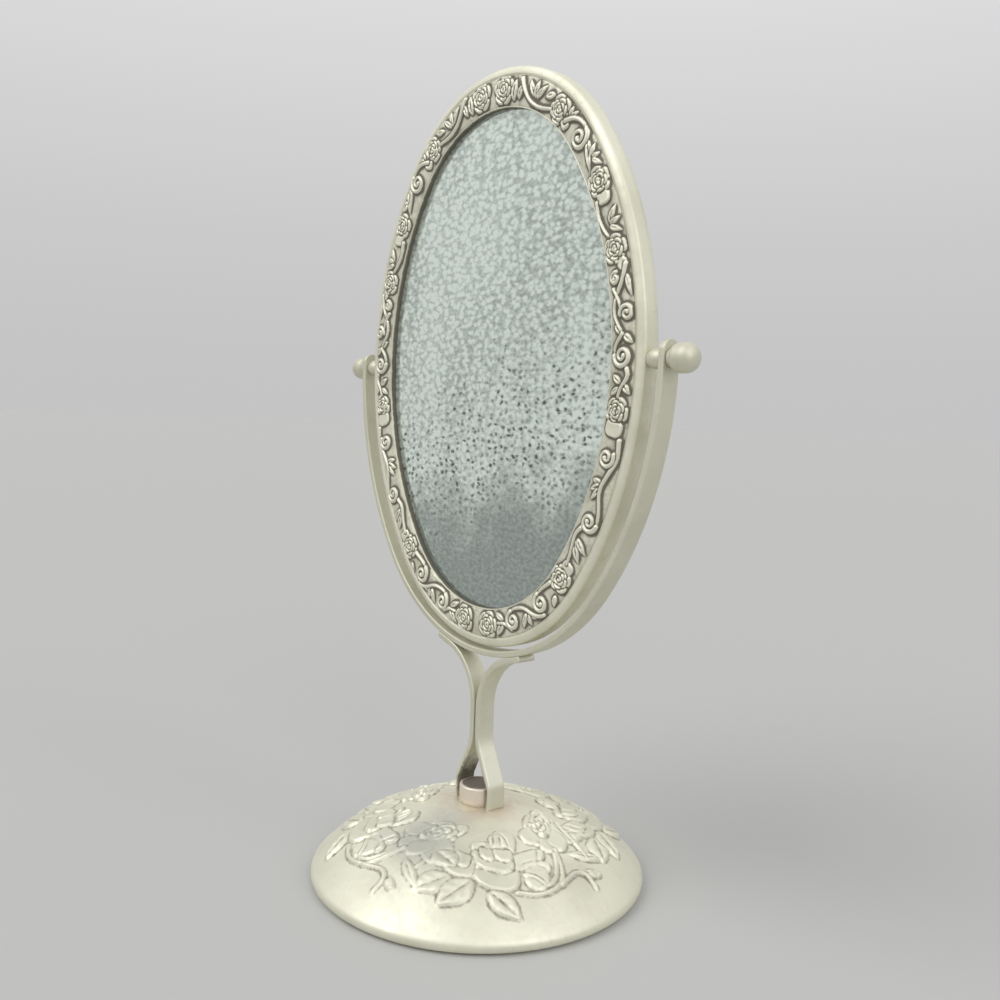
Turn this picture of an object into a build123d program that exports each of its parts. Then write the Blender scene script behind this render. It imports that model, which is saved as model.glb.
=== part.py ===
"""Table-top swing mirror: an oval glass in a cast frame, hung in a flat-strap yoke.

The yoke stands on an hourglass stem of two bent straps, which clasp a round post on a domed base.
Millimetres, +Z up, origin under the middle of the base. The mirror faces -Y and tilts about X.
"""
import os
from math import atan2, cos, degrees, hypot, radians, sin, sqrt

from build123d import *

# Base
BASE_DIAMETER = 120.0
DOME_HEIGHT = 26.5
DOME_WALL = 2.5
SEAT_DIAMETER = 24.0
RIM_RADIUS = 2.4
RIM_LIFT = 0.6
RIM_LAND = 3.0
PLATE_THICKNESS = 1.2
PLATE_LEDGE = 2.4
FELT_THICKNESS = 2.0
FELT_HOLE_DIAMETER = 14.0
RIM_JOIN_ANGLE = 45.0
DOME_CONTROL_SHARES = ((0.41, 0.21), (0.75, 0.46))

# Roses and leaves cast on the base: turns in degrees from the front, and places down the side
CLUSTERS = 4
ROSE_TURN = 60.5
ROSE_DOWN_SHARE = 0.47
ROSE_DIAMETER = 24.0
SIDE_ROSE_TURN = 106.5
SIDE_ROSE_DOWN_SHARE = 0.31
SIDE_ROSE_DIAMETER = 18.0
PETALS = 5
PETAL_SHARE = 0.46
HEART_SHARE = 0.48
LEAF_TURNS = (32.9, 43.4, 61.6)
LEAF_DOWN_SHARES = (0.66, 0.70, 0.79)
LEAF_HEADINGS = (-54.0, -46.0, 42.0)
LEAF_LENGTH = 14.0
LEAF_WIDTH = 7.6
PETAL_RISE = 1.2
HEART_RISE = 2.0

# Stem
STRAP_WIDTH = 7.2
STRAP_THICKNESS = 2.2
POST_DIAMETER = 14.6
POST_HEIGHT = 6.7
POST_EDGE = 0.6
LUG_PROUD = 0.5
LUG_WIDTH = 5.0
FOOT_HEIGHT = 6.5
FOOT_BEND_RADIUS = 5.0
STEM_LEAN = 26.0
WAIST_BEND_RADIUS = 15.0
WAIST_GAP = 0.8
WAIST_LENGTH = 9.1
FLARE_RADIUS = 21.0
LAP_LENGTH = 6.0
BOLT_DIAMETER = 5.0
BOLT_HEAD_DIAMETER = 9.6
BOLT_HEAD_HEIGHT = 1.5
BOLT_ENGAGEMENT = 5.0
BOLT_SLOT_WIDTH = 1.2
BOLT_SLOT_DEPTH = 0.8

# Mirror head
FRAME_WIDTH = 148.5
FRAME_HEIGHT = 199.0
FRAME_BORDER = 13.4
SIDE_WALL = 5.4
EDGE_RADIUS = 0.5
SHOULDER_WIDTH = 3.2
SHOULDER_DEPTH = 0.7
BAND_RISE = 1.1
BAND_STEP = 0.5
INNER_DROP = 0.9
LIP_THICKNESS = 2.4
LIP_OVERLAP = 2.8
GLASS_THICKNESS = 2.6
GLASS_BEVEL = 0.6
COVER_THICKNESS = 1.0
COVER_SETBACK = 0.4
CREST_SHARE = 0.45
OVAL_END_SHARE = 0.50
SCREW_DIAMETER = 2.4
SCREW_HEAD_DIAMETER = 4.6
SCREW_HEAD_HEIGHT = 1.3
SCREW_LENGTH = 4.5
SCREW_SLOT_WIDTH = 0.7
SCREW_SLOT_DEPTH = 0.6

# Pivots
ARM_GAP = 5.8
SWING_CLEARANCE = 1.2
STUD_DIAMETER = 3.0
STUD_ROOT = 6.0
SPACER_DIAMETER = 6.2
SPACER_END_DIAMETER = 4.6
ARM_END_RISE = 1.9
KNOB_DIAMETER = 8.8
KNOB_LENGTH = 9.2
KNOB_NECK_DIAMETER = 6.0
KNOB_NECK_LENGTH = 1.2
KNOB_SWELL = 2.2
KNOB_DOME = 4.0
KNOB_FLOOR = 3.0

# Clearances, and how far a cut runs past its face
RUNNING_CLEARANCE = 0.05
END_CLEARANCE = 0.15
SEAT_CLEARANCE = 0.3
OVERRUN = 1.0

BACKWARD = (0, 1, 0)


def oval(half_width, half_height):
    """Four-centre oval: end radius, side radius and the side arc's half angle in degrees."""
    end_radius = half_width - OVAL_END_SHARE * (half_height - half_width)
    end_centre = half_height - end_radius
    reach = half_width**2 + end_centre**2 - end_radius**2
    side_radius = reach / (2 * (half_width - end_radius))
    return end_radius, side_radius, degrees(atan2(end_centre, side_radius - half_width))


# Heights and offsets that follow from the sizes above
base_radius = BASE_DIAMETER / 2
seat_radius = SEAT_DIAMETER / 2
rim_centre = (base_radius - RIM_RADIUS, RIM_LIFT + RIM_RADIUS)
rim_join = (
    rim_centre[0] + RIM_RADIUS * cos(radians(RIM_JOIN_ANGLE)),
    rim_centre[1] + RIM_RADIUS * sin(radians(RIM_JOIN_ANGLE)),
)
plate_top = FELT_THICKNESS + PLATE_THICKNESS
rebate_radius = base_radius - RIM_RADIUS - RIM_LAND
post_top = DOME_HEIGHT + POST_HEIGHT
waist_x = (WAIST_GAP + STRAP_THICKNESS) / 2
foot_x = POST_DIAMETER / 2 + LUG_PROUD + STRAP_THICKNESS / 2
bend_shift = (1 - cos(radians(STEM_LEAN))) * (FOOT_BEND_RADIUS + WAIST_BEND_RADIUS)
slant_length = (foot_x - waist_x - bend_shift) / sin(radians(STEM_LEAN))
bend_rise = sin(radians(STEM_LEAN)) * (FOOT_BEND_RADIUS + WAIST_BEND_RADIUS)
waist_bottom = DOME_HEIGHT + FOOT_HEIGHT + bend_rise + slant_length * cos(radians(STEM_LEAN))
flare_start = waist_bottom + WAIST_LENGTH

half_width = FRAME_WIDTH / 2
half_height = FRAME_HEIGHT / 2
bezel_back = SIDE_WALL / 2
wall_front = -bezel_back
cover_back = bezel_back + COVER_THICKNESS
frame_front = wall_front - SHOULDER_DEPTH - BAND_RISE
glass_front = frame_front + INNER_DROP + LIP_THICKNESS
glass_back = glass_front + GLASS_THICKNESS
pocket_offset = FRAME_BORDER - LIP_OVERLAP
swing_radius = hypot(half_height, cover_back)

arm_inner = half_width + ARM_GAP
arm_outer = arm_inner + STRAP_THICKNESS
yoke_half_width = arm_inner + STRAP_THICKNESS / 2
yoke_half_height = swing_radius + SWING_CLEARANCE + STRAP_THICKNESS / 2
yoke_end_radius, yoke_side_radius, yoke_side_angle = oval(yoke_half_width, yoke_half_height)
lap_radius = yoke_end_radius + STRAP_THICKNESS
flare_x = waist_x + FLARE_RADIUS
flare_drop = sqrt((lap_radius + FLARE_RADIUS) ** 2 - flare_x**2)
flare_angle = degrees(atan2(flare_drop, flare_x))
yoke_end_height = flare_start + flare_drop
pivot_height = yoke_end_height + yoke_half_height - yoke_end_radius
frame_end_radius, frame_side_radius, frame_side_angle = oval(half_width, half_height)

stud_radius = STUD_DIAMETER / 2
stud_hole_radius = stud_radius + RUNNING_CLEARANCE
knob_start = arm_outer + END_CLEARANCE
knob_bore_depth = KNOB_LENGTH - KNOB_FLOOR


def turned(outline, axis=Axis.Z):
    """Solid turned from a closed outline in the XZ plane."""
    return revolve(Plane.XZ * make_face(outline), axis)


def upright_pin(radius, bottom, top):
    """Plain pin along Z."""
    return Pos(0, 0, bottom) * extrude(Circle(radius), top - bottom)


def cross_pin(radius, start, end):
    """Plain pin along X through the pivot axis."""
    return Plane((start, 0, pivot_height), (0, 1, 0), (1, 0, 0)) * extrude(Circle(radius), end - start)


def other_side(piece):
    """The same piece on the left-hand side."""
    return mirror(piece, Plane.YZ)


# Base


def dome_curve(start, end):
    """Side of the dome: a crown that falls gently, then turns down steeply to the rim."""
    (start_x, start_z), (end_x, end_z) = start, end
    controls = [
        (start_x + across * (end_x - start_x), start_z + down * (end_z - start_z))
        for across, down in DOME_CONTROL_SHARES
    ]
    return Bezier(start, *controls, end)


def dome_side():
    """Outside of the dome, from its seat down to its rim."""
    return dome_curve((seat_radius, DOME_HEIGHT), rim_join)


def relief_skin(rise):
    """Turned skin on the side of the dome: it stands proud by the rise and roots in the wall."""
    side = dome_side()
    slope = side % 0.5
    outwards = Vector(-slope.Y, slope.X)
    proud = Pos(outwards * rise) * side
    root = Pos(outwards * (-DOME_WALL / 2)) * side
    return turned([proud, Line(proud @ 1, root @ 1), root, Line(root @ 0, proud @ 0)])


def relief_plane(turn, down_share):
    """Plane on the side of the dome, facing outwards, with its X axis down the side."""
    side = dome_side()
    place, slope = side @ down_share, side % down_share
    across, front = sin(radians(turn)), -cos(radians(turn))
    return Plane(
        (place.X * across, place.X * front, place.Y),
        (slope.X * across, slope.X * front, slope.Y),
        (-slope.Y * across, -slope.Y * front, slope.X),
    )


def punch(plane, outline):
    """Outline extended both ways, far enough to cut through the skins."""
    return extrude(plane * outline, HEART_RISE + DOME_WALL + OVERRUN, both=True)


def petal_outline(diameter):
    """Outline of an open rose: a ring of round petals about a heart."""
    petal_radius = PETAL_SHARE * diameter / 2
    ring = PolarLocations(diameter / 2 - petal_radius, PETALS)
    return Sketch() + ring * Circle(petal_radius) + Circle(HEART_SHARE * diameter / 2)


def leaf_outline(heading):
    """Pointed leaf between two arcs, turned to its heading."""
    base, tip, side = (-LEAF_LENGTH / 2, 0), (LEAF_LENGTH / 2, 0), LEAF_WIDTH / 2
    edges = [ThreePointArc(base, (0, side), tip), ThreePointArc(tip, (0, -side), base)]
    return Rot(0, 0, heading) * make_face(edges)


def make_relief():
    """Clusters of two roses and three leaves round the dome; the hearts of the roses stand highest."""
    roses = (
        (relief_plane(ROSE_TURN, ROSE_DOWN_SHARE), ROSE_DIAMETER),
        (relief_plane(SIDE_ROSE_TURN, SIDE_ROSE_DOWN_SHARE), SIDE_ROSE_DIAMETER),
    )
    flat, hearts = Part(), Part()
    for plane, diameter in roses:
        flat += punch(plane, petal_outline(diameter))
        hearts += punch(plane, Circle(HEART_SHARE * diameter / 2))
    for turn, down_share, heading in zip(LEAF_TURNS, LEAF_DOWN_SHARES, LEAF_HEADINGS):
        flat += punch(relief_plane(turn, down_share), leaf_outline(heading))
    cluster = (relief_skin(PETAL_RISE) & flat) + (relief_skin(HEART_RISE) & hearts)
    return [Rot(0, 0, 360 / CLUSTERS * number) * cluster for number in range(CLUSTERS)]


def make_base_dome():
    """Hollow dome with a flat seat, a rounded rim, a ledge for the base plate and cast roses."""
    bolt_hole = BOLT_DIAMETER / 2 + SEAT_CLEARANCE
    ceiling = DOME_HEIGHT - DOME_WALL
    ledge_radius = rebate_radius - PLATE_LEDGE
    outside = dome_side()
    rim = CenterArc(rim_centre, RIM_RADIUS, RIM_JOIN_ANGLE, -90 - RIM_JOIN_ANGLE)
    underside = Polyline(
        rim @ 1,
        (rebate_radius, RIM_LIFT),
        (rebate_radius, plate_top),
        (ledge_radius, plate_top),
    )
    inside = dome_curve((seat_radius - DOME_WALL, ceiling), (ledge_radius, plate_top))
    middle = Polyline(
        inside @ 0,
        (bolt_hole, ceiling),
        (bolt_hole, DOME_HEIGHT),
        outside @ 0,
    )
    return turned([outside, rim, underside, inside, middle]) + make_relief()


def make_base_plate():
    """Disc that closes the base, with a hole for the bolt."""
    disc = upright_pin(rebate_radius - SEAT_CLEARANCE, FELT_THICKNESS, plate_top)
    hole = upright_pin(BOLT_DIAMETER / 2 + SEAT_CLEARANCE, FELT_THICKNESS - OVERRUN, plate_top + OVERRUN)
    return disc - hole


def make_base_felt():
    """Felt under the plate, cut out round the head of the bolt."""
    disc = upright_pin(rebate_radius - SEAT_CLEARANCE, 0, FELT_THICKNESS)
    return disc - upright_pin(FELT_HOLE_DIAMETER / 2, -OVERRUN, FELT_THICKNESS + OVERRUN)


# Stem


def make_stem_post():
    """Round post with two flat lugs for the strap feet and a blind hole for the bolt."""
    radius = POST_DIAMETER / 2
    post = upright_pin(radius, DOME_HEIGHT, post_top)
    post = chamfer(post.edges().group_by(Axis.Z)[-1], POST_EDGE)
    lug_height = min(POST_HEIGHT - POST_EDGE, FOOT_HEIGHT)
    lugs = Pos(0, 0, DOME_HEIGHT) * Box(
        POST_DIAMETER + 2 * LUG_PROUD,
        LUG_WIDTH,
        lug_height,
        align=(Align.CENTER, Align.CENTER, Align.MIN),
    )
    hole_top = DOME_HEIGHT + BOLT_ENGAGEMENT + SEAT_CLEARANCE
    hole = upright_pin(BOLT_DIAMETER / 2 + RUNNING_CLEARANCE, DOME_HEIGHT - OVERRUN, hole_top)
    return post + lugs - hole


def make_stem_bolt():
    """Slotted bolt with a low head under the base plate."""
    head_bottom = FELT_THICKNESS - BOLT_HEAD_HEIGHT
    head = upright_pin(BOLT_HEAD_DIAMETER / 2, head_bottom, FELT_THICKNESS)
    shank = upright_pin(BOLT_DIAMETER / 2, FELT_THICKNESS, DOME_HEIGHT + BOLT_ENGAGEMENT)
    slot = Pos(0, 0, head_bottom + BOLT_SLOT_DEPTH) * Box(
        BOLT_HEAD_DIAMETER + OVERRUN,
        BOLT_SLOT_WIDTH,
        BOLT_SLOT_DEPTH + OVERRUN,
        align=(Align.CENTER, Align.CENTER, Align.MAX),
    )
    return head + shank - slot


def strap(path):
    """Flat strap bent along a path of tangent lines and arcs in the XZ plane."""
    section = trace(path, STRAP_THICKNESS)
    return extrude(Plane.XZ * section, STRAP_WIDTH / 2, both=True)


def make_stem_strap():
    """Right-hand strap: foot, lean inwards, waist, flare outwards and lap under the yoke."""
    foot = Line((foot_x, DOME_HEIGHT), (foot_x, DOME_HEIGHT + FOOT_HEIGHT))
    foot_bend = JernArc(foot @ 1, foot % 1, FOOT_BEND_RADIUS, STEM_LEAN)
    slant = Line(foot_bend @ 1, foot_bend @ 1 + (foot_bend % 1) * slant_length)
    waist_bend = JernArc(slant @ 1, slant % 1, WAIST_BEND_RADIUS, -STEM_LEAN)
    waist = Line(waist_bend @ 1, (waist_x, flare_start))
    flare = JernArc(waist @ 1, waist % 1, FLARE_RADIUS, -flare_angle)
    lap = JernArc(flare @ 1, flare % 1, lap_radius, degrees(LAP_LENGTH / lap_radius))
    return strap([foot, foot_bend, slant, waist_bend, waist, flare, lap])


def make_yoke():
    """U of strap on three arcs of a four-centre oval, drilled near its ends, which run on and are rounded."""
    side_x = yoke_half_width - yoke_side_radius
    turn = yoke_side_angle
    left_arm = CenterArc((-side_x, pivot_height), yoke_side_radius, -180, turn)
    bottom = CenterArc((0, yoke_end_height), yoke_end_radius, turn - 180, 180 - 2 * turn)
    right_arm = CenterArc((side_x, pivot_height), yoke_side_radius, -turn, turn)
    band = strap([left_arm, bottom, right_arm])
    round_end = make_face(
        [
            CenterArc((0, ARM_END_RISE), STRAP_WIDTH / 2, 0, 180),
            Polyline(
                (-STRAP_WIDTH / 2, ARM_END_RISE),
                (-STRAP_WIDTH / 2, 0),
                (STRAP_WIDTH / 2, 0),
                (STRAP_WIDTH / 2, ARM_END_RISE),
            ),
        ]
    )
    arm_plane = Plane((arm_inner, 0, pivot_height), (0, 1, 0), (1, 0, 0))
    right_end = arm_plane * extrude(round_end, STRAP_THICKNESS)
    hole = cross_pin(stud_hole_radius, -arm_outer - OVERRUN, arm_outer + OVERRUN)
    return band + right_end + other_side(right_end) - hole


# Mirror head


def oval_sheet(inset, front, back):
    """Oval plate, inset from the outline of the frame, between two depths."""
    side_x = half_width - frame_side_radius
    end_z = half_height - frame_end_radius
    turn = frame_side_angle
    side_radius = frame_side_radius - inset
    end_radius = frame_end_radius - inset
    outline = [
        CenterArc((side_x, 0), side_radius, -turn, 2 * turn),
        CenterArc((0, end_z), end_radius, turn, 180 - 2 * turn),
        CenterArc((-side_x, 0), side_radius, 180 - turn, 2 * turn),
        CenterArc((0, -end_z), end_radius, 180 + turn, 180 - 2 * turn),
    ]
    plane = Plane((0, front, pivot_height), (1, 0, 0), (0, -1, 0))
    return extrude(plane * make_face(outline), back - front, dir=BACKWARD)


def oval_moulding(outline_at):
    """Ring carried round the oval: one turned stretch for each of its four arcs."""
    side_x = half_width - frame_side_radius
    end_z = half_height - frame_end_radius
    turn = frame_side_angle
    arcs = (
        (side_x, 0, frame_side_radius, -turn, 2 * turn),
        (0, end_z, frame_end_radius, turn, 180 - 2 * turn),
        (-side_x, 0, frame_side_radius, 180 - turn, 2 * turn),
        (0, -end_z, frame_end_radius, 180 + turn, 180 - 2 * turn),
    )
    ring = Part()
    for centre_x, centre_z, radius, start, sweep_angle in arcs:
        centre = (centre_x, 0, pivot_height + centre_z)
        outwards = (cos(radians(start)), 0, sin(radians(start)))
        along = (-sin(radians(start)), 0, cos(radians(start)))
        section = Plane(centre, outwards, along) * make_face(outline_at(radius))
        ring += revolve(section, Axis(centre, (0, -1, 0)), sweep_angle)
    return ring


def bezel_section(radius):
    """Section of the frame: side wall, rounded edge, shoulder, convex band, lip and glass pocket."""
    shoulder_top = wall_front - SHOULDER_DEPTH
    edge = CenterArc((radius - EDGE_RADIUS, wall_front), EDGE_RADIUS, 0, -90)
    band_start = radius - SHOULDER_WIDTH
    opening = radius - FRAME_BORDER
    band_width = band_start - opening
    crest = (band_start - CREST_SHARE * band_width, frame_front)
    band = ThreePointArc(
        (band_start, shoulder_top - BAND_STEP),
        crest,
        (opening, frame_front + INNER_DROP),
    )
    rest = Polyline(
        band @ 1,
        (opening, glass_front),
        (radius - pocket_offset, glass_front),
        (radius - pocket_offset, bezel_back),
        (radius, bezel_back),
        edge @ 0,
    )
    shoulder = Polyline(
        edge @ 1,
        (band_start, shoulder_top),
        band @ 0,
    )
    return [band, rest, edge, shoulder]


def screw_places():
    """Four places on the frame's ring, where its side arcs meet its end arcs."""
    turn = radians(frame_side_angle)
    reach = frame_side_radius - pocket_offset / 2
    across = half_width - frame_side_radius + reach * cos(turn)
    up = reach * sin(turn)
    return [
        (side * across, pivot_height + end * up)
        for side in (-1, 1)
        for end in (-1, 1)
    ]


def depth_pin(radius, place, front, back):
    """Plain pin along Y at a place on the frame."""
    across, height = place
    return Plane((across, front, height), (1, 0, 0), (0, 1, 0)) * extrude(Circle(radius), back - front)


def make_frame_bezel():
    """Cast oval frame, drilled for the studs and the cover screws."""
    bezel = oval_moulding(bezel_section)
    stud_hole = cross_pin(stud_hole_radius, half_width - STUD_ROOT - SEAT_CLEARANCE, half_width + OVERRUN)
    bezel -= stud_hole
    bezel -= other_side(stud_hole)
    screw_tip = cover_back - SCREW_LENGTH - SEAT_CLEARANCE
    for place in screw_places():
        bezel -= depth_pin(SCREW_DIAMETER / 2 + RUNNING_CLEARANCE, place, screw_tip, bezel_back + OVERRUN)
    return bezel


def make_mirror_glass():
    """Oval glass with a small bevel round its front edge, in the frame's pocket."""
    glass = oval_sheet(pocket_offset + SEAT_CLEARANCE, glass_front, glass_back)
    return chamfer(glass.faces().sort_by(Axis.Y)[0].edges(), GLASS_BEVEL)


def make_backing_board():
    """Board that packs the glass against the lip of the frame."""
    return oval_sheet(pocket_offset + SEAT_CLEARANCE, glass_back, bezel_back)


def make_back_cover():
    """Plate over the back of the frame, drilled for its screws."""
    cover = oval_sheet(COVER_SETBACK, bezel_back, cover_back)
    hole_radius = SCREW_DIAMETER / 2 + RUNNING_CLEARANCE
    for place in screw_places():
        cover -= depth_pin(hole_radius, place, bezel_back - OVERRUN, cover_back + OVERRUN)
    return cover


def make_back_screws():
    """Four slotted screws with their heads on the back cover."""
    head_back = cover_back + SCREW_HEAD_HEIGHT
    screws = []
    for place in screw_places():
        across, height = place
        shank = depth_pin(SCREW_DIAMETER / 2, place, cover_back - SCREW_LENGTH, cover_back)
        head = depth_pin(SCREW_HEAD_DIAMETER / 2, place, cover_back, head_back)
        slot = Pos(across, head_back - SCREW_SLOT_DEPTH, height) * Box(
            SCREW_HEAD_DIAMETER + OVERRUN,
            SCREW_SLOT_DEPTH + OVERRUN,
            SCREW_SLOT_WIDTH,
            align=(Align.CENTER, Align.MIN, Align.CENTER),
        )
        screws.append(shank + head - slot)
    return Compound(children=screws)


# Pivots


def make_pivot_stud():
    """Right-hand stud, fixed in the frame and ending inside the knob."""
    return cross_pin(stud_radius, half_width - STUD_ROOT, knob_start + knob_bore_depth - SEAT_CLEARANCE)


def turned_on_pivot(outline):
    """Solid turned about the pivot axis, from an outline of places along X and radii."""
    section = Plane((0, 0, pivot_height), (1, 0, 0), (0, -1, 0)) * make_face(outline)
    return revolve(section, Axis((0, 0, pivot_height), (1, 0, 0)))


def make_pivot_spacer():
    """Right-hand barrel spacer between the frame and the arm."""
    start = half_width + RUNNING_CLEARANCE
    end = arm_inner - END_CLEARANCE
    barrel = ThreePointArc(
        (start, SPACER_END_DIAMETER / 2),
        ((start + end) / 2, SPACER_DIAMETER / 2),
        (end, SPACER_END_DIAMETER / 2),
    )
    bore = Polyline(
        barrel @ 1,
        (end, stud_hole_radius),
        (start, stud_hole_radius),
        barrel @ 0,
    )
    return turned_on_pivot([barrel, bore])


def make_knob():
    """Right-hand thumb nut: short neck, swelling barrel, domed end and a blind bore."""
    radius = KNOB_DIAMETER / 2
    neck_end = knob_start + KNOB_NECK_LENGTH
    swell_end = neck_end + KNOB_SWELL
    end = knob_start + KNOB_LENGTH
    dome_start = end - KNOB_DOME
    neck = Polyline(
        (knob_start, stud_hole_radius),
        (knob_start, KNOB_NECK_DIAMETER / 2),
        (neck_end, KNOB_NECK_DIAMETER / 2),
    )
    swell = TangentArc((swell_end, radius), neck @ 1, tangent=(-1, 0))
    barrel = Line((swell_end, radius), (dome_start, radius))
    dome_radius = (radius**2 + KNOB_DOME**2) / (2 * KNOB_DOME)
    dome_middle = dome_radius - KNOB_DOME / 2
    dome = ThreePointArc(
        (dome_start, radius),
        (end - KNOB_DOME / 2, sqrt(dome_radius**2 - dome_middle**2)),
        (end, 0),
    )
    bore_end = knob_start + knob_bore_depth
    bore = Polyline(
        dome @ 1,
        (bore_end, 0),
        (bore_end, stud_hole_radius),
        neck @ 0,
    )
    return turned_on_pivot([neck, swell, barrel, dome, bore])


right_strap = make_stem_strap()
right_stud = make_pivot_stud()
right_spacer = make_pivot_spacer()
right_knob = make_knob()

pieces = {
    "base_dome": make_base_dome(),
    "base_plate": make_base_plate(),
    "base_felt": make_base_felt(),
    "stem_bolt": make_stem_bolt(),
    "stem_post": make_stem_post(),
    "stem_strap_right": right_strap,
    "stem_strap_left": other_side(right_strap),
    "yoke": make_yoke(),
    "frame_bezel": make_frame_bezel(),
    "mirror_glass": make_mirror_glass(),
    "backing_board": make_backing_board(),
    "back_cover": make_back_cover(),
    "back_screws": make_back_screws(),
    "pivot_stud_right": right_stud,
    "pivot_stud_left": other_side(right_stud),
    "pivot_spacer_right": right_spacer,
    "pivot_spacer_left": other_side(right_spacer),
    "knob_right": right_knob,
    "knob_left": other_side(right_knob),
}

os.makedirs("parts", exist_ok=True)
for name, piece in pieces.items():
    export_step(piece, f"parts/{name}.step")
print("pivot height", pivot_height, "overall height", pivot_height + half_height)
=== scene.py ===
"""The swing mirror as it looks: cast roses, plated straps, turned knobs and silvered glass.

Lengths are in millimetres, and become metres where a piece is made. +Z is up and the mirror faces -Y.
"""

import bpy
import numpy as np
from mathutils import Matrix, Vector


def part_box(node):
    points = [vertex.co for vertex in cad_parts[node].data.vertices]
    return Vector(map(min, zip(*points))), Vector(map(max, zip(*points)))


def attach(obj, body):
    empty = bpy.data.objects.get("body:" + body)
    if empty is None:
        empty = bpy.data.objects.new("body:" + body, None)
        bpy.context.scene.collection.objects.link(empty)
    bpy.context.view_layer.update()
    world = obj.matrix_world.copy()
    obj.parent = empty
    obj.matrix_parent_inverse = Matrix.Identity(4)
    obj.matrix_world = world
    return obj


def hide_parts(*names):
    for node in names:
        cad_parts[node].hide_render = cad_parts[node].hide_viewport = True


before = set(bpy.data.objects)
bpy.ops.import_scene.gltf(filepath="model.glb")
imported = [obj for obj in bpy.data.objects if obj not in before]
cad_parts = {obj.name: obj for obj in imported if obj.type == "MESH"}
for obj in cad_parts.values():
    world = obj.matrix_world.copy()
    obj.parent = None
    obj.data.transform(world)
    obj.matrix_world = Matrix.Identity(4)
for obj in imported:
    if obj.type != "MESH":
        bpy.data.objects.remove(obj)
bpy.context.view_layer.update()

MM = 0.001
FULL_TURN = 2 * np.pi


def corners(node):
    """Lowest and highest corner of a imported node."""
    return [np.array(corner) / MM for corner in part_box(node)]


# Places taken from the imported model
frame_low, frame_high = corners("frame_bezel")
glass_front = corners("mirror_glass")[0][1]
cover_low, cover_high = corners("back_cover")
knob_low, knob_high = corners("knob_right")
spacer_low, spacer_high = corners("pivot_spacer_right")
yoke_low, yoke_high = corners("yoke")
post_low, post_high = corners("stem_post")
dome_high = corners("base_dome")[1]
felt_high = corners("base_felt")[1]
pivot = (knob_low[2] + knob_high[2]) / 2
half_width = frame_high[0]
half_height = (frame_high[2] - frame_low[2]) / 2

# Straps
OVAL_END_SHARE = 0.5
OVAL_FINE_POINTS = 20001
CORNER_POINTS = 7
STRAP_THICKNESS = 2.2
STRAP_EASING = 0.5
EASING_LEAD = 0.12
FOOT_HEIGHT = 6.5
FOOT_BEND_RADIUS = 5.0
STEM_LEAN = np.radians(26.0)
WAIST_BEND_RADIUS = 15.0
WAIST_GAP = 0.8
WAIST_LENGTH = 9.1
FLARE_RADIUS = 21.0
LAP_LENGTH = 6.0
STRAP_STEPS = 160
STRAP_FINENESS = 50  # finer steps, added up within each step
YOKE_POINTS = 420
YOKE_END_POINTS = 14
YOKE_END_START = 0.02  # angle
YOKE_TIP_SHARE = 0.02
# Painted highlight on the outer face of the slant, which faces up towards the light
SLANT_PAINTED_HIGHLIGHT = 1.8
strap_width = yoke_high[1] - yoke_low[1]
yoke_half_width = yoke_high[0] - STRAP_THICKNESS / 2
yoke_half_height = pivot - yoke_low[2] - STRAP_THICKNESS / 2

# Knobs and beads
TURNED_COLUMNS = 96
NECK_RADIUS = 3.0
NECK_LENGTH = 1.2
NECK_EASING = 0.3
NECK_SWELL = 2.2
SWELL_POINTS = 12
KNOB_DOME = 4.0
KNOB_BLUNTNESS = 2.15
KNOB_END_START = 0.05  # angle
KNOB_END_POINTS = 26
KNOB_TIP_RADIUS = 0.02
BEAD_POINTS = 22
BEAD_END_RADIUS = 2.2
BEAD_SWELL = 0.95
BEAD_FULLNESS = 0.6

# Post
POST_EASING = 0.7
POST_FOOT = 2.0
POST_RIM = 1.0
POST_FLAT_INSET = 1.2
TOP_MARGIN = 0.1
LUG_HALF_WIDTH = 2.5
# Soot and painted shade between the strap feet: on the post's top and the straps' inner faces close above it
POST_SOOT_AND_SHADE = 0.85
SOOT_AND_SHADE_REACH = 9.0

# Back plate and felt
COVER_COLUMNS = 360
COVER_EASING = 0.5
COVER_EASING_POINTS = 6
COVER_FLAT_INSET = 0.7
FELT_HOLE_RADIUS = 7.0
FELT_EDGE = 0.5
FELT_CURL = 0.7
FELT_RINGS = 40
FELT_COLUMNS = 240
FELT_RIPPLE = 0.03
FELT_WAVES = ((1.7, 5), (0.6, -9))  # turning outwards, and waves round the ring

# Section of the frame: depths are from the pivot, and insets are from the outline
FRAME_BORDER = 13.4
FRAME_STEPS = 720
BAND_EDGE = 3.3
BAND_INNER_GAP = 0.4
BAND_CREST = 8.0
BAND_REACH = 5.0
BAND_FRONT = -4.0
BAND_FALL = 0.55
BAND_BACK = -2.7
BAND_STEPS = 2300
BAND_COLUMNS = 40
BAND_RELIEF = 1.6
BAND_SOFTNESS = 0.5
BAND_EDGE_DROP = 0.4
BAND_PASSES = (8, 40)  # softening close by, and further off
GROUND_FILM = 0.26
GROUND_RISE = 0.8
LIP_WALL = (-1.8, -2.4)
LIP_PROUD = 0.05
LIP_CROWN = (  # outwards from the opening, and back from the crest
    (0.0, 0.35),
    (0.06, 0.12),
    (0.2, 0.0),
    (0.4, 0.06),
    (0.55, 0.3),
)
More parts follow.
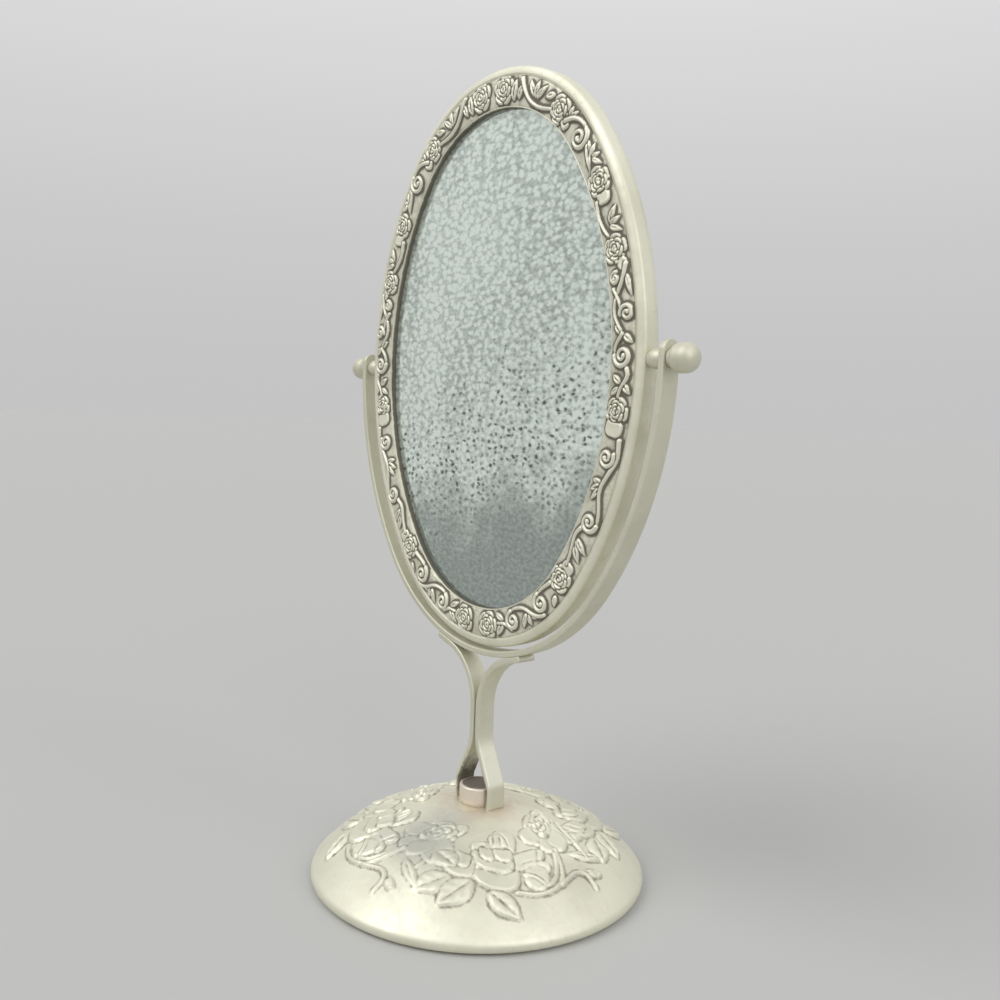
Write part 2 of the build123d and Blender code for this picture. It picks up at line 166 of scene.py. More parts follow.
# Painted shade on the lip's inner wall by the glass, where the recess lies in shade
LIP_PAINTED_SHADE = (1.0, 1.0, 0.9, 0.45)
SHOULDER_WIDTH = 2.8
SHOULDER_FRONT = -3.45
SHOULDER_BACK = -1.9
SHOULDER_POINTS = 11
SEAT_SECTION = (  # inset and depth
    (FRAME_BORDER - 0.6, BAND_BACK - 0.1),
    (BAND_EDGE + 0.1, BAND_BACK - 0.1),
)
GROOVE_DEPTH = -3.25
GROOVE_SECTION = (  # inset and depth
    (BAND_EDGE - 0.05, GROOVE_DEPTH - 0.1),
    (BAND_EDGE - 0.25, GROOVE_DEPTH),
    (SHOULDER_WIDTH + 0.1, GROOVE_DEPTH - 0.05),
)
# Painted shade in the groove between the carved band and the shoulder
GROOVE_PAINTED_SHADE = 0.22
WALL_DEPTHS = (-0.6, 1.0)
BACK_EDGE = (  # inset, and distance forward of the back
    (0.0, 0.3),
    (0.1, 0.08),
    (0.35, 0.0),
)
POCKET_INSET = 10.6

# Relief
PRESS_SHARE = 0.55
PRESS_WIDTH = 0.45
EDGE_SOFTNESS = 0.4
THINNEST = 0.01
ROSE_RINGS = (  # reach, petals, twist, height at the foot, height at the lip
    (1.00, 5, 0.0, 0.20, 0.62),
    (0.74, 5, 0.7, 0.36, 0.82),
    (0.50, 4, 0.2, 0.44, 0.96),
    (0.27, 3, 1.1, 0.40, 1.00),
)
ROSE_SCALLOP = 0.24
ROSE_NOTCH = 0.34
ROSE_NOTCH_WIDTH = 0.45
ROSE_MARGIN = 1.0
LEAF_SHARE = 0.62
LEAF_BROADEST = 0.8
LEAF_FULLNESS = 0.85
LEAF_SWELL = 0.38
LEAF_VEINS = 4
VEIN_SLANT = 0.8
VEIN_DEPTH = 0.16
VEIN_START = 0.3
MIDRIB_DEPTH = 0.34
MIDRIB_WIDTH = 0.15
PETAL_FOOT_RUN = 0.55
PETAL_FOOT = 0.46
PETAL_LIP = 0.40
PETAL_SIDES = 0.14
PETAL_SOFTNESS = 0.45
STEM_SHARE = 0.62
STEM_START = 1.1
STEM_TAPER = 0.5
CURL_SHARE = 0.72
CURL_POINTS = 64
CURL_BULB = 0.35
BULB_START = 0.93
FINE_HOLLOW = 0.14
BROAD_HOLLOW = 1.10

# Section of the base
SEAT_RADIUS = 12.0
SEAT_RINGS = (7.5, 11.0)
BOLT_HOLE_RADIUS = 2.8
RIM_RADIUS = 2.4
RIM_LIFT = 0.6
RIM_JOIN = np.radians(45.0)
RIM_POINTS = 13
PLATE_TOP = 3.2
PLATE_LEDGE = 2.4
PLATE_CLEARANCE = 0.3
DOME_WALL = 2.5
DOME_SHARES = ((0.41, 0.21), (0.75, 0.46))  # pulls on the curve, across and down
DOME_STEPS = 640
DOME_COLUMNS = 124
DOME_FINE_POINTS = 2001
DOME_INSIDE_POINTS = 8
DOME_RELIEF = 2.3
DOME_PASSES = (3, 12)  # softening close by, and further off
DOME_TARNISH = 0.5
JOIN_PASSES = 3
JOIN_REACH = 6
CLUSTERS = 4
CLUSTER_MIDDLE = 75.0  # degrees from the front
WORN_MIDDLE = 22.0  # degrees from the front
WORN_SPREAD = 19.0
WORN_SHARE = 0.45
# Greyer patch on the front of the base, fading out further down
GREY_PATCH_MIDDLE = 12.0  # degrees from the front
GREY_PATCH_SPREAD = 30.0
GREY_PATCH_SHARE = 0.85
GREY_PATCH_END = 38.0
GREY_PATCH_FADE = 16.0
COPPER_RADIUS = 11.0
COPPER_SPREAD = 7.0

# Tints and silvering
COPPER_TINT = (0.66, 0.53, 0.42, 1)
GREY_PATCH_TINT = (0.50, 0.50, 0.45, 1)
RUBBED_AND_LIT_TINT = (0.92, 0.91, 0.80, 1)
TARNISH_AND_SHADE_TINT = (0.075, 0.058, 0.040, 1)
STAIN_TINT = (0.24, 0.22, 0.19, 1)
# Slant of the painted reflection's zones on the glass
REFLECTION_SLANT = 0.24


# Surfaces


def grid_quads(rows, columns, rows_close):
    """Quads of a grid of points whose columns close on themselves, and whose rows may."""
    row = np.arange(rows if rows_close else rows - 1)[:, None]
    column = np.arange(columns)[None, :]
    below, beside = (row + 1) % rows, (column + 1) % columns
    quad = [
        row * columns + column,
        row * columns + beside,
        below * columns + beside,
        below * columns + column,
    ]
    return np.stack(quad, -1).reshape(-1, 4)


def ring(points):
    """Points and quads of a grid that closes both ways."""
    rows, columns = points.shape[:2]
    return points.reshape(-1, 3), grid_quads(rows, columns, True)


def capped(points):
    """Points and quads of a grid that closes round its rows; its first and last row are filled in."""
    rows, columns = points.shape[:2]
    near = np.arange(columns // 2 - 1)
    cap = np.stack([near, columns - 1 - near, columns - 2 - near, near + 1], -1)
    last = cap[:, ::-1] + (rows - 1) * columns
    return points.reshape(-1, 3), np.concatenate([grid_quads(rows, columns, False), cap, last])


def joined(*shells):
    """Several closed surfaces as one."""
    counts = np.cumsum([0] + [len(points) for points, quads in shells])
    quads = [shell[1] + count for shell, count in zip(shells, counts)]
    return np.concatenate([points for points, _ in shells]), np.concatenate(quads)


def outward(points, quads):
    """Quads turned so that their closed surface faces outwards: the volume it holds comes out positive."""
    a, b, c, d = (points[quads[:, corner]] for corner in range(4))
    volume = np.sum(a * np.cross(b, c)) + np.sum(a * np.cross(c, d))
    return quads if volume > 0 else quads[:, ::-1]


def make_piece(name, surface, material, body, slot, replaced, **attributes):
    """Object made from points and quads, with a value at each point for each named attribute."""
    points, quads = surface
    quads = np.ascontiguousarray(outward(points, quads), dtype=np.int32)
    mesh = bpy.data.meshes.new(name)
    mesh.vertices.add(len(points))
    mesh.vertices.foreach_set("co", (points * MM).astype(np.float32).ravel())
    mesh.loops.add(quads.size)
    mesh.loops.foreach_set("vertex_index", quads.ravel())
    mesh.polygons.add(len(quads))
    mesh.polygons.foreach_set("loop_start", np.arange(0, quads.size, 4, dtype=np.int32))
    mesh.polygons.foreach_set("use_smooth", np.ones(len(quads), dtype=bool))
    for label, values in attributes.items():
        layer = mesh.attributes.new(label, "FLOAT", "POINT")
        layer.data.foreach_set("value", values.astype(np.float32).ravel())
    mesh.update(calc_edges=True)
    mesh.validate()
    mesh.materials.append(material)
    piece = bpy.data.objects.new(name, mesh)
    bpy.context.scene.collection.objects.link(piece)
    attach(piece, body)
    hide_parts(*replaced)
    return piece


# Ovals, straps and turned work


def oval(half_wide, half_high):
    """End radius, side radius and half angle of the side arc of a four-centre oval."""
    end = half_wide - OVAL_END_SHARE * (half_high - half_wide)
    end_middle = half_high - end
    side = (half_wide**2 + end_middle**2 - end**2) / (2 * (half_wide - end))
    return end, side, np.arctan2(end_middle, side - half_wide)


def running_total(steps):
    """Sum of the steps up to each place, from zero."""
    return np.concatenate([[0], np.cumsum(steps)])


def oval_points(half_wide, half_high, facing, inset=0.0):
    """Across and up where an oval, set in by a distance, faces an angle clockwise from straight up."""
    end, side, turn = oval(half_wide, half_high)
    on_side = np.abs(np.cos(facing)) < np.sin(turn)
    radius = np.where(on_side, side, end) - inset
    across = np.where(on_side, np.sign(np.sin(facing)) * (half_wide - side), 0.0)
    up = np.where(on_side, 0.0, np.sign(np.cos(facing)) * (half_high - end))
    return across + radius * np.sin(facing), up + radius * np.cos(facing)


def even_facings(half_wide, half_high, inset, shares, start=0.0, sweep=FULL_TURN):
    """Facings of the points at given shares of the length of a stretch of an oval, and that length."""
    facing = start + sweep * np.linspace(0, 1, OVAL_FINE_POINTS)
    across, up = oval_points(half_wide, half_high, facing, inset)
    length = running_total(np.hypot(np.diff(across), np.diff(up)))
    return np.interp(shares * length[-1], length, facing), length[-1]


def strap_section():
    """Rounded oblong, as places across the strap and through it.

    One face and its two eased corners come first, then the other.
    """
    wide, deep, easing = strap_width / 2, STRAP_THICKNESS / 2, STRAP_EASING
    bend = np.linspace(0, np.pi / 2, CORNER_POINTS)
    corner = np.stack([wide - easing + easing * np.cos(bend), deep - easing + easing * np.sin(bend)], -1)
    lead_in = [[wide, deep - easing - EASING_LEAD]]
    lead_out = [[wide - easing - EASING_LEAD, deep], [wide / 2, deep]]
    quarter = np.concatenate([lead_in, corner, lead_out])
    face = np.concatenate([quarter, quarter[::-1] * [-1, 1]])
    return np.concatenate([face, face[::-1] * [1, -1]])


def strap(across, up, normal_across, normal_up, width_share=1.0):
    """Strap section carried along a line in the XZ plane; its width may shrink along the way."""
    section = strap_section()
    depth = section[None, :, 1]
    wide = section[None, :, 0] * np.reshape(width_share, (-1, 1))
    points = np.stack(
        [
            across[:, None] + depth * normal_across[:, None],
            np.broadcast_to(wide, (len(across), len(section))),
            up[:, None] + depth * normal_up[:, None],
        ],
        -1,
    )
    return capped(points)


def yoke_surface():
    """U of strap along the lower half of an oval; its two ends run on above the pivots and are rounded."""
    shares = np.linspace(0, 1, YOKE_POINTS)
    facing, _ = even_facings(yoke_half_width, yoke_half_height, 0.0, shares, np.pi / 2, np.pi)
    across, up = oval_points(yoke_half_width, yoke_half_height, facing)
    rounding = np.sin(np.linspace(YOKE_END_START, np.pi / 2, YOKE_END_POINTS))[:0:-1]
    end_share = np.sqrt(1 - rounding**2) + YOKE_TIP_SHARE
    end_middle = yoke_high[2] - strap_width / 2 - pivot
    end_up = end_middle + strap_width / 2 * rounding
    flat = np.zeros(len(end_up))
    return strap(
        np.concatenate([flat + yoke_half_width, across, flat - yoke_half_width]),
        pivot + np.concatenate([end_up, up, end_up[::-1]]),
        np.concatenate([flat + 1, np.sin(facing), flat - 1]),
        np.concatenate([flat, np.cos(facing), flat]),
        np.minimum(1, np.concatenate([end_share, np.ones(len(up)), end_share[::-1]])),
    )


def stem_strap_surface(side):
    """Strap that runs up from its foot in straights and arcs: its heading changes evenly along each.

    Returns the surface and its values: soot and painted shade inside, close above the post, and a painted
    highlight outside the slant.
    """
    lap_radius = oval(yoke_half_width, yoke_half_height)[0] + STRAP_THICKNESS
    waist = (WAIST_GAP + STRAP_THICKNESS) / 2
    foot = post_high[0] + STRAP_THICKNESS / 2
    bends = FOOT_BEND_RADIUS + WAIST_BEND_RADIUS
    slant = (foot - waist - bends * (1 - np.cos(STEM_LEAN))) / np.sin(STEM_LEAN)
    flare_turn = np.arccos((waist + FLARE_RADIUS) / (lap_radius + FLARE_RADIUS))
    stretches = np.array(
        [
            (FOOT_HEIGHT, 0),
            (FOOT_BEND_RADIUS * STEM_LEAN, -STEM_LEAN),
            (slant, 0),
            (WAIST_BEND_RADIUS * STEM_LEAN, STEM_LEAN),
            (WAIST_LENGTH, 0),
            (FLARE_RADIUS * flare_turn, flare_turn),
            (LAP_LENGTH, -LAP_LENGTH / lap_radius),
        ]
    )
    marks = running_total(stretches[:, 0])
    headings = running_total(stretches[:, 1])
    along = np.linspace(0, marks[-1], STRAP_STEPS * STRAP_FINENESS + 1)
    heading = np.interp(along, marks, headings)
    middle = (heading[:-1] + heading[1:]) / 2
    across = foot + running_total(np.sin(middle) * np.diff(along))
    up = dome_high[2] + running_total(np.cos(middle) * np.diff(along))
    kept = slice(None, None, STRAP_FINENESS)
    surface = strap(side * across[kept], up[kept], side * np.cos(heading[kept]), -np.sin(heading[kept]))
    lean = np.sin(heading[kept])[:, None]
    above_post = (up[kept] - post_high[2])[:, None]
    # Painted highlight outside the slant; soot and painted shade inside, close above the post
    outer = SLANT_PAINTED_HIGHLIGHT * np.minimum(lean, 0)
    inner = POST_SOOT_AND_SHADE * bell(above_post, SOOT_AND_SHADE_REACH)
    return surface, np.where(strap_section()[None, :, 1] > 0, outer, inner)


def turned(profile):
    """Profile of places along an axis and radii, turned about it: grids of places along, sideways and up."""
    along, radius = np.transpose(profile)
    angle = FULL_TURN * (np.arange(TURNED_COLUMNS) + 0.5) / TURNED_COLUMNS
    flat = np.zeros((1, TURNED_COLUMNS))
    return along[:, None] + flat, radius[:, None] * np.sin(angle), radius[:, None] * np.cos(angle)


def pivot_turned(profile, side):
    """Turned work on the pivot axis."""
    along, sideways, up = turned(profile)
    return capped(np.stack([side * along, sideways, pivot + up], -1))


def knob_surface(side):
    """Short neck, an arc that swells from it to a barrel, and a blunt domed end: a superellipse."""
    length, radius = knob_high[0] - knob_low[0], (knob_high[2] - knob_low[2]) / 2
    swell_rise = radius - NECK_RADIUS
    swell_radius = (NECK_SWELL**2 + swell_rise**2) / (2 * swell_rise)
    turn = np.linspace(-np.arcsin(NECK_SWELL / swell_radius), 0, SWELL_POINTS)
    neck = [
        (0, NECK_RADIUS - NECK_EASING),
        (NECK_EASING / 3, NECK_RADIUS - NECK_EASING / 3),
        (NECK_EASING, NECK_RADIUS),
        (NECK_LENGTH - NECK_EASING / 3, NECK_RADIUS),
    ]
    swell_along = NECK_LENGTH + NECK_SWELL + swell_radius * np.sin(turn)
    swell = np.stack([swell_along, radius - swell_radius * (1 - np.cos(turn))], -1)
    reach = np.sin(np.linspace(KNOB_END_START, np.pi / 2, KNOB_END_POINTS))
    blunt = (1 - reach**KNOB_BLUNTNESS) ** (1 / KNOB_BLUNTNESS)
    end = np.stack([length - KNOB_DOME + KNOB_DOME * reach, radius * blunt + KNOB_TIP_RADIUS], -1)
    return pivot_turned(np.concatenate([neck, swell, end]) + [knob_low[0], 0], side)


def spacer_surface(side):
    """Bead between the frame and an arm: half a wave, made fuller, on a plain pin."""
    share = np.linspace(0, 1, BEAD_POINTS)
    along = spacer_low[0] + share * (spacer_high[0] - spacer_low[0])
    radius = BEAD_END_RADIUS + BEAD_SWELL * np.sin(np.pi * share) ** BEAD_FULLNESS
    return pivot_turned(np.stack([along, radius], -1), side)


def post_surface():
    """Round post with an eased top and a flat lug on either side for the strap feet.

    Returns the surface and its soot and painted shade on the top.
    """
    radius, bottom, top = post_high[1], post_low[2], post_high[2]
    eased_top, eased_radius = top - POST_EASING, radius - POST_EASING
    bend = np.linspace(0, np.pi / 2, CORNER_POINTS)
    edge = np.stack([eased_top + POST_EASING * np.sin(bend), eased_radius + POST_EASING * np.cos(bend)], -1)
    wall = [(bottom, radius), (bottom + POST_FOOT, radius), (top - POST_RIM, radius)]
    profile = np.concatenate([wall, edge, [(top, radius - POST_FLAT_INSET)]])
    along, across, depth = turned(profile)
    post = capped(np.stack([across, depth, along], -1))
    lug_across = post_high[0] * np.array([-1, 1, 1, -1])
    lug_depth = LUG_HALF_WIDTH * np.array([-1, -1, 1, 1])
    lug = [np.stack([lug_across, lug_depth, np.full(4, height)], -1) for height in (bottom, eased_top)]
    surface = joined(post, capped(np.array(lug)))
    across, depth, height = surface[0].T
    inside_rim = np.hypot(across, depth) < radius - POST_RIM
    return surface, POST_SOOT_AND_SHADE * inside_rim * (height > top - TOP_MARGIN)


def cover_surface():
    """Oval plate over the back, with an eased edge."""
    front, back = cover_low[1], cover_high[1]
    shares = (np.arange(COVER_COLUMNS) + 0.5) / COVER_COLUMNS
    facing, _ = even_facings(half_width, half_height, 0.0, shares)
    bend = np.linspace(0, np.pi / 2, COVER_EASING_POINTS)
    eased_inset = COVER_EASING - COVER_EASING * np.cos(bend)
    eased_depth = back - COVER_EASING + COVER_EASING * np.sin(bend)
    inset = half_width - cover_high[0] + np.concatenate([[0], eased_inset, [COVER_FLAT_INSET]])
    depth = np.concatenate([[front], eased_depth, [back]])
    across, up = oval_points(half_width, half_height, facing[None, :], inset[:, None])
    return capped(np.stack([across, np.broadcast_to(depth[:, None], across.shape), pivot + up], -1))


def felt_surface():
    """Felt ring with soft edges and a slightly uneven underside: two waves that cross."""
    inner, outer, top = FELT_HOLE_RADIUS, felt_high[0], felt_high[2]
    between = np.linspace(inner + FELT_EDGE, outer - FELT_EDGE, FELT_RINGS)
    radius = np.concatenate([[inner, inner], between, [outer, outer]])
    under = np.concatenate([[top, FELT_CURL], np.zeros(FELT_RINGS), [FELT_CURL, top]])
    angle = FULL_TURN * np.arange(FELT_COLUMNS)[:, None] / FELT_COLUMNS
    waves = sum(np.sin(radius * outwards + waves_round * angle) for outwards, waves_round in FELT_WAVES)
    ripple = FELT_RIPPLE * (len(FELT_WAVES) + waves)
    height = under + np.where(under == 0, ripple, 0)
    return ring(np.stack([radius * np.sin(angle), -radius * np.cos(angle), height], -1))


# Cast ornament: for places a along and b across, each motif gives a height from 0 to 1 and a distance
# inside its edge


def rise(distance, soft):
    """Smooth step from 0 at an edge to 1 at a soft distance inside it."""
    share = np.clip(distance / soft, 0, 1)
    return share * share * (3 - 2 * share)


def bell(distance, spread):
    """Smooth hump: 1 in the middle and about a third at its spread."""
    return np.exp(-((distance / spread) ** 2))


def overlaid(below, above, edge):
    """Relief with another laid over it, which presses down what lies under it and close round its edge."""
    pressed = PRESS_SHARE * bell(np.minimum(edge, 0), PRESS_WIDTH)
    return np.maximum(below * (1 - pressed), above)


def rose(a, b, middle, size, turn, lean):
    """Rings of petals that stand higher towards the heart. A lean shifts the inner rings.

    A petal is dished, with a raised lip and a notch beside it.
    """
    height, outline = np.zeros_like(a), None
    a_here = a - middle[0]
    for reach, petals, twist, foot, lip in ROSE_RINGS:
        b_here = b - middle[1] + lean * size * (1 - reach)
        angle = np.arctan2(b_here, a_here) + turn + twist
        swell = np.abs(np.cos(petals * angle / 2))
        edge = reach * size * (1 - ROSE_SCALLOP + ROSE_SCALLOP * np.sqrt(swell))
        place = np.hypot(a_here, b_here) / edge
        inside = (1 - place) * edge
        notched = 1 - ROSE_NOTCH + ROSE_NOTCH * rise(swell, ROSE_NOTCH_WIDTH)
        raised = (foot + (lip - foot) * place**2) * notched
        height = overlaid(height, raised * rise(inside, EDGE_SOFTNESS), inside)
        outline = inside if outline is None else outline
    return height, outline


def blade(a, b, foot, tip):
    """Places along a straight blade as shares of its length, distances aside, and its length."""
    run = np.subtract(tip, foot)
    length = np.hypot(*run)
    along = ((a - foot[0]) * run[0] + (b - foot[1]) * run[1]) / length**2
    return along, np.abs((b - foot[1]) * run[0] - (a - foot[0]) * run[1]) / length, length


def leaf(a, b, foot, tip, width):
    """Pointed leaf from its foot to its tip: two swelling halves, with slanting veins and a sunk midrib."""
    along, aside, length = blade(a, b, foot, tip)
    half = 0.5 * width * np.sin(np.pi * np.clip(along, 0, 1) ** LEAF_BROADEST) ** LEAF_FULLNESS
    share = aside / np.maximum(half, THINNEST)
    swell = 1 - LEAF_SWELL + LEAF_SWELL * np.sin(np.pi * np.clip(share, 0, 1))
    midrib = MIDRIB_DEPTH * bell(share, MIDRIB_WIDTH)
    lines = 0.5 + 0.5 * np.cos(FULL_TURN * (LEAF_VEINS * along - VEIN_SLANT * share))
    veins = VEIN_DEPTH * lines * rise(share, VEIN_START)
    edge = np.minimum(half - aside, length * np.minimum(along, 1 - along))
    return rise(edge, EDGE_SOFTNESS) * (swell - midrib - veins), edge


def petal(a, b, foot, tip, width):
    """Broad plain petal from its foot to its rounded lip: dished, and higher at the lip and the sides."""
    along, aside, length = blade(a, b, foot, tip)
    from_broadest = (1 + PETAL_FOOT_RUN) * along - PETAL_FOOT_RUN
    half = 0.5 * width * np.sqrt(np.clip(1 - np.abs(from_broadest) ** 3, 0, 1))
    share = np.clip(aside / np.maximum(half, THINNEST), 0, 1)
    edge = np.minimum(half - aside, (1 - along) * length)
    dish = PETAL_FOOT + PETAL_LIP * np.clip(along, 0, 1) ** 1.5 + PETAL_SIDES * share**2
    return rise(edge, PETAL_SOFTNESS) * dish * (along > 0), edge


def smooth_line(points):
    """Line with its corners cut at a quarter of their sides, four times over."""
    line = np.array(points, dtype=float)
    for _ in range(4):
        cut = np.stack([0.75 * line[:-1] + 0.25 * line[1:], 0.25 * line[:-1] + 0.75 * line[1:]], 1)
        line = np.concatenate([line[:1], cut.reshape(-1, 2), line[-1:]])
    return line


def curl_line(middle, reach, start, turns):
    """Spiral that winds in from a start angle; its reach shrinks to a fifth."""
    share = np.linspace(0, 1, CURL_POINTS)[:, None]
    angle = start + FULL_TURN * turns * share
    heading = np.concatenate([np.cos(angle), np.sin(angle)], 1)
    return np.array(middle) + reach * (1 - 0.8 * share**0.9) * heading


def stem(a, b, line, width, bulb):
    """Round-backed stem along a line, which narrows and may end in a bulb."""
    share = np.linspace(0, 1, len(line))
    ending = bulb * rise(share - BULB_START, 1 - BULB_START)
    reach = width / 2 * (STEM_START - STEM_TAPER * share) + ending
    away = np.hypot(a[:, None] - line[:, 0], b[:, None] - line[:, 1])
    return np.sqrt(np.clip(1 - (away / reach) ** 2, 0, 1)).max(1), (reach - away).max(1)


def stamp(height, a, b, points, margin, scale, motif, *sizes):
    """Lays a motif over a relief inside a window: the box of some points, widened by a margin."""
    lowest, highest = np.min(points, 0) - margin, np.max(points, 0) + margin
    near = (a > lowest[0]) & (a < highest[0]) & (b > lowest[1]) & (b < highest[1])
    if near.any():
        raised, edge = motif(a[near], b[near], *sizes)
        height[near] = overlaid(height[near], scale * raised, edge)


def carve(height, a, b, ornament, scale):
    """Raises a whole ornament: roses, then petals, leaves, stems and curls."""
    for middle, size, turn, lean in ornament["roses"]:
        stamp(height, a, b, [middle], size + ROSE_MARGIN, scale, rose, middle, size, turn, lean)
    for foot, tip, width, share in ornament["petals"]:
        stamp(height, a, b, [foot, tip], width, share * scale, petal, foot, tip, width)
    for foot, tip, width in ornament["leaves"]:
        stamp(height, a, b, [foot, tip], width, LEAF_SHARE * scale, leaf, foot, tip, width)
    for points, width in ornament["stems"]:
        line = smooth_line(points)
        stamp(height, a, b, line, width, STEM_SHARE * scale, stem, line, width, 0.0)
    for middle, reach, start, turns, width in ornament["curls"]:
        line = curl_line(middle, reach, np.radians(start), turns)
        stamp(height, a, b, line, width, CURL_SHARE * scale, stem, line, width, CURL_BULB * width)


def softened(height, passes):
    """Heights averaged with their neighbours, over and over. The first direction closes on itself."""
    for _ in range(passes):
        height = (np.roll(height, 1, 0) + 2 * height + np.roll(height, -1, 0)) / 4
        wide = np.pad(height, ((0, 0), (1, 1)), mode="edge")
        height = (wide[:, :-2] + 2 * height + wide[:, 2:]) / 4
    return height


def tarnish_of(height, near, far):
    """Share of dark tarnish, which is below zero on what stands proud.

    It follows how far a place lies below the average height round it, close by and further off.
    """
    fine = (softened(height, near) - height) / FINE_HOLLOW
    broad = (softened(height, far) - height) / BROAD_HOLLOW
    return np.clip(fine + broad, -1, 1)


# Ornament of half of the frame, in places along the band from the top and inwards from the outline
FRAME_ORNAMENT = {
    "roses": [
        ((6.2, 7.8), 5.3, 0.3, 0.0),
        ((37.8, 8.0), 5.0, 1.0, 0.0),
        ((69.2, 7.8), 5.0, 0.5, 0.1),
        ((91.8, 8.0), 4.9, 1.6, 0.0),
        ((140.6, 8.0), 4.8, 0.2, -0.1),
        ((199.4, 8.2), 5.0, 0.9, 0.0),
        ((242.8, 8.0), 5.2, 0.6, 0.0),
    ],
    "petals": [
        ((144.0, 8.2), (148.6, 8.4), 7.4, 0.6),
        ((73.4, 7.6), (77.0, 8.4), 5.6, 0.6),
        ((96.0, 6.6), (98.6, 4.9), 4.0, 0.6),
        ((195.6, 8.0), (192.2, 7.2), 5.4, 0.6),
        ((41.6, 9.0), (44.6, 10.8), 4.2, 0.6),
    ],
    "leaves": [
        ((12.2, 11.6), (12.0, 4.6), 3.4),
        ((14.8, 11.0), (16.2, 5.4), 2.6),
        ((23.6, 9.2), (18.9, 4.3), 2.4),
        ((24.0, 9.4), (23.2, 3.7), 2.4),
        ((24.6, 9.4), (27.6, 4.2), 2.4),
        ((32.8, 5.4), (28.6, 7.6), 2.6),
        ((43.4, 7.2), (42.0, 3.8), 1.9),
        ((43.8, 7.2), (44.9, 3.6), 1.9),
        ((54.6, 5.4), (64.0, 9.8), 3.0),
        ((60.4, 7.0), (57.6, 4.0), 2.0),
        ((61.0, 7.0), (61.4, 3.7), 2.0),
        ((61.4, 7.2), (65.0, 4.4), 2.0),
        ((83.4, 8.2), (79.0, 4.4), 2.4),
        ((84.0, 8.0), (83.0, 3.8), 2.2),
        ((84.4, 8.4), (87.4, 4.0), 2.2),
        ((100.0, 5.0), (107.0, 3.9), 2.2),
        ((117.4, 7.6), (114.6, 11.2), 2.6),
        ((117.6, 7.2), (120.4, 3.9), 2.6),
        ((132.2, 7.6), (129.6, 11.4), 2.6),
        ((132.0, 7.0), (135.2, 3.9), 2.6),
        ((133.4, 8.2), (136.0, 11.8), 2.2),
        ((163.0, 8.0), (163.4, 12.4), 2.2),
        ((163.8, 8.0), (167.0, 12.2), 2.4),
        ((164.4, 7.6), (169.8, 10.6), 2.2),
        ((184.4, 10.8), (190.4, 5.0), 3.2),
        ((183.6, 9.6), (186.6, 4.0), 2.6),
        ((205.0, 6.0), (208.4, 3.9), 2.2),
        ((219.6, 8.4), (216.8, 4.4), 2.3),
        ((220.0, 8.4), (220.6, 3.8), 2.3),
        ((220.6, 8.6), (224.6, 4.4), 2.3),
        ((233.6, 8.6), (238.6, 4.2), 2.8),
        ((233.6, 9.0), (238.0, 12.2), 2.4),
    ],
    "stems": [
        ([(15.0, 4.4), (18.0, 8.4), (22.0, 11.2), (28.0, 11.6), (33.6, 9.8)], 1.7),
        ([(42.6, 9.0), (45.0, 6.0), (48.0, 4.4), (51.8, 4.2)], 1.7),
        ([(75.0, 11.0), (79.0, 12.0), (83.6, 11.2), (87.0, 9.6)], 1.6),
        ([(97.4, 4.8), (102.0, 6.6), (105.6, 9.6), (111.0, 11.6), (117.0, 8.0)], 1.6),
        ([(103.6, 10.6), (107.6, 8.6), (110.0, 8.4)], 1.3),
        ([(117.6, 7.8), (120.6, 10.6), (123.0, 11.0)], 1.4),
        ([(127.2, 6.0), (130.0, 4.8), (133.6, 7.6), (136.2, 8.2)], 1.6),
        ([(149.0, 5.0), (154.0, 4.2), (160.0, 6.4), (165.6, 8.2), (172.0, 5.2), (176.0, 4.4)], 1.7),
        ([(179.4, 9.6), (183.0, 11.4), (188.6, 9.6), (193.6, 8.6)], 1.6),
        ([(204.0, 10.6), (208.6, 11.8), (212.0, 11.6)], 1.6),
        ([(213.6, 4.2), (217.0, 5.6), (221.0, 10.6), (226.0, 12.0), (229.0, 11.6)], 1.6),
        ([(230.4, 5.6), (233.4, 8.2), (237.0, 8.4)], 1.5),
    ],
    "curls": [
        ((51.8, 8.0), 3.8, -90, 1.55, 1.7),
        ((100.6, 9.4), 2.0, 200, -1.4, 1.3),
        ((111.6, 5.8), 2.7, 90, 1.4, 1.5),
        ((124.0, 7.6), 3.4, 90, -1.5, 1.7),
        ((155.0, 8.6), 3.2, -120, 1.5, 1.6),
        ((176.4, 7.6), 3.2, -90, 1.5, 1.7),
        ((212.4, 8.2), 3.4, 90, -1.5, 1.7),
        ((228.6, 8.2), 3.3, 80, -1.45, 1.6),
    ],
}

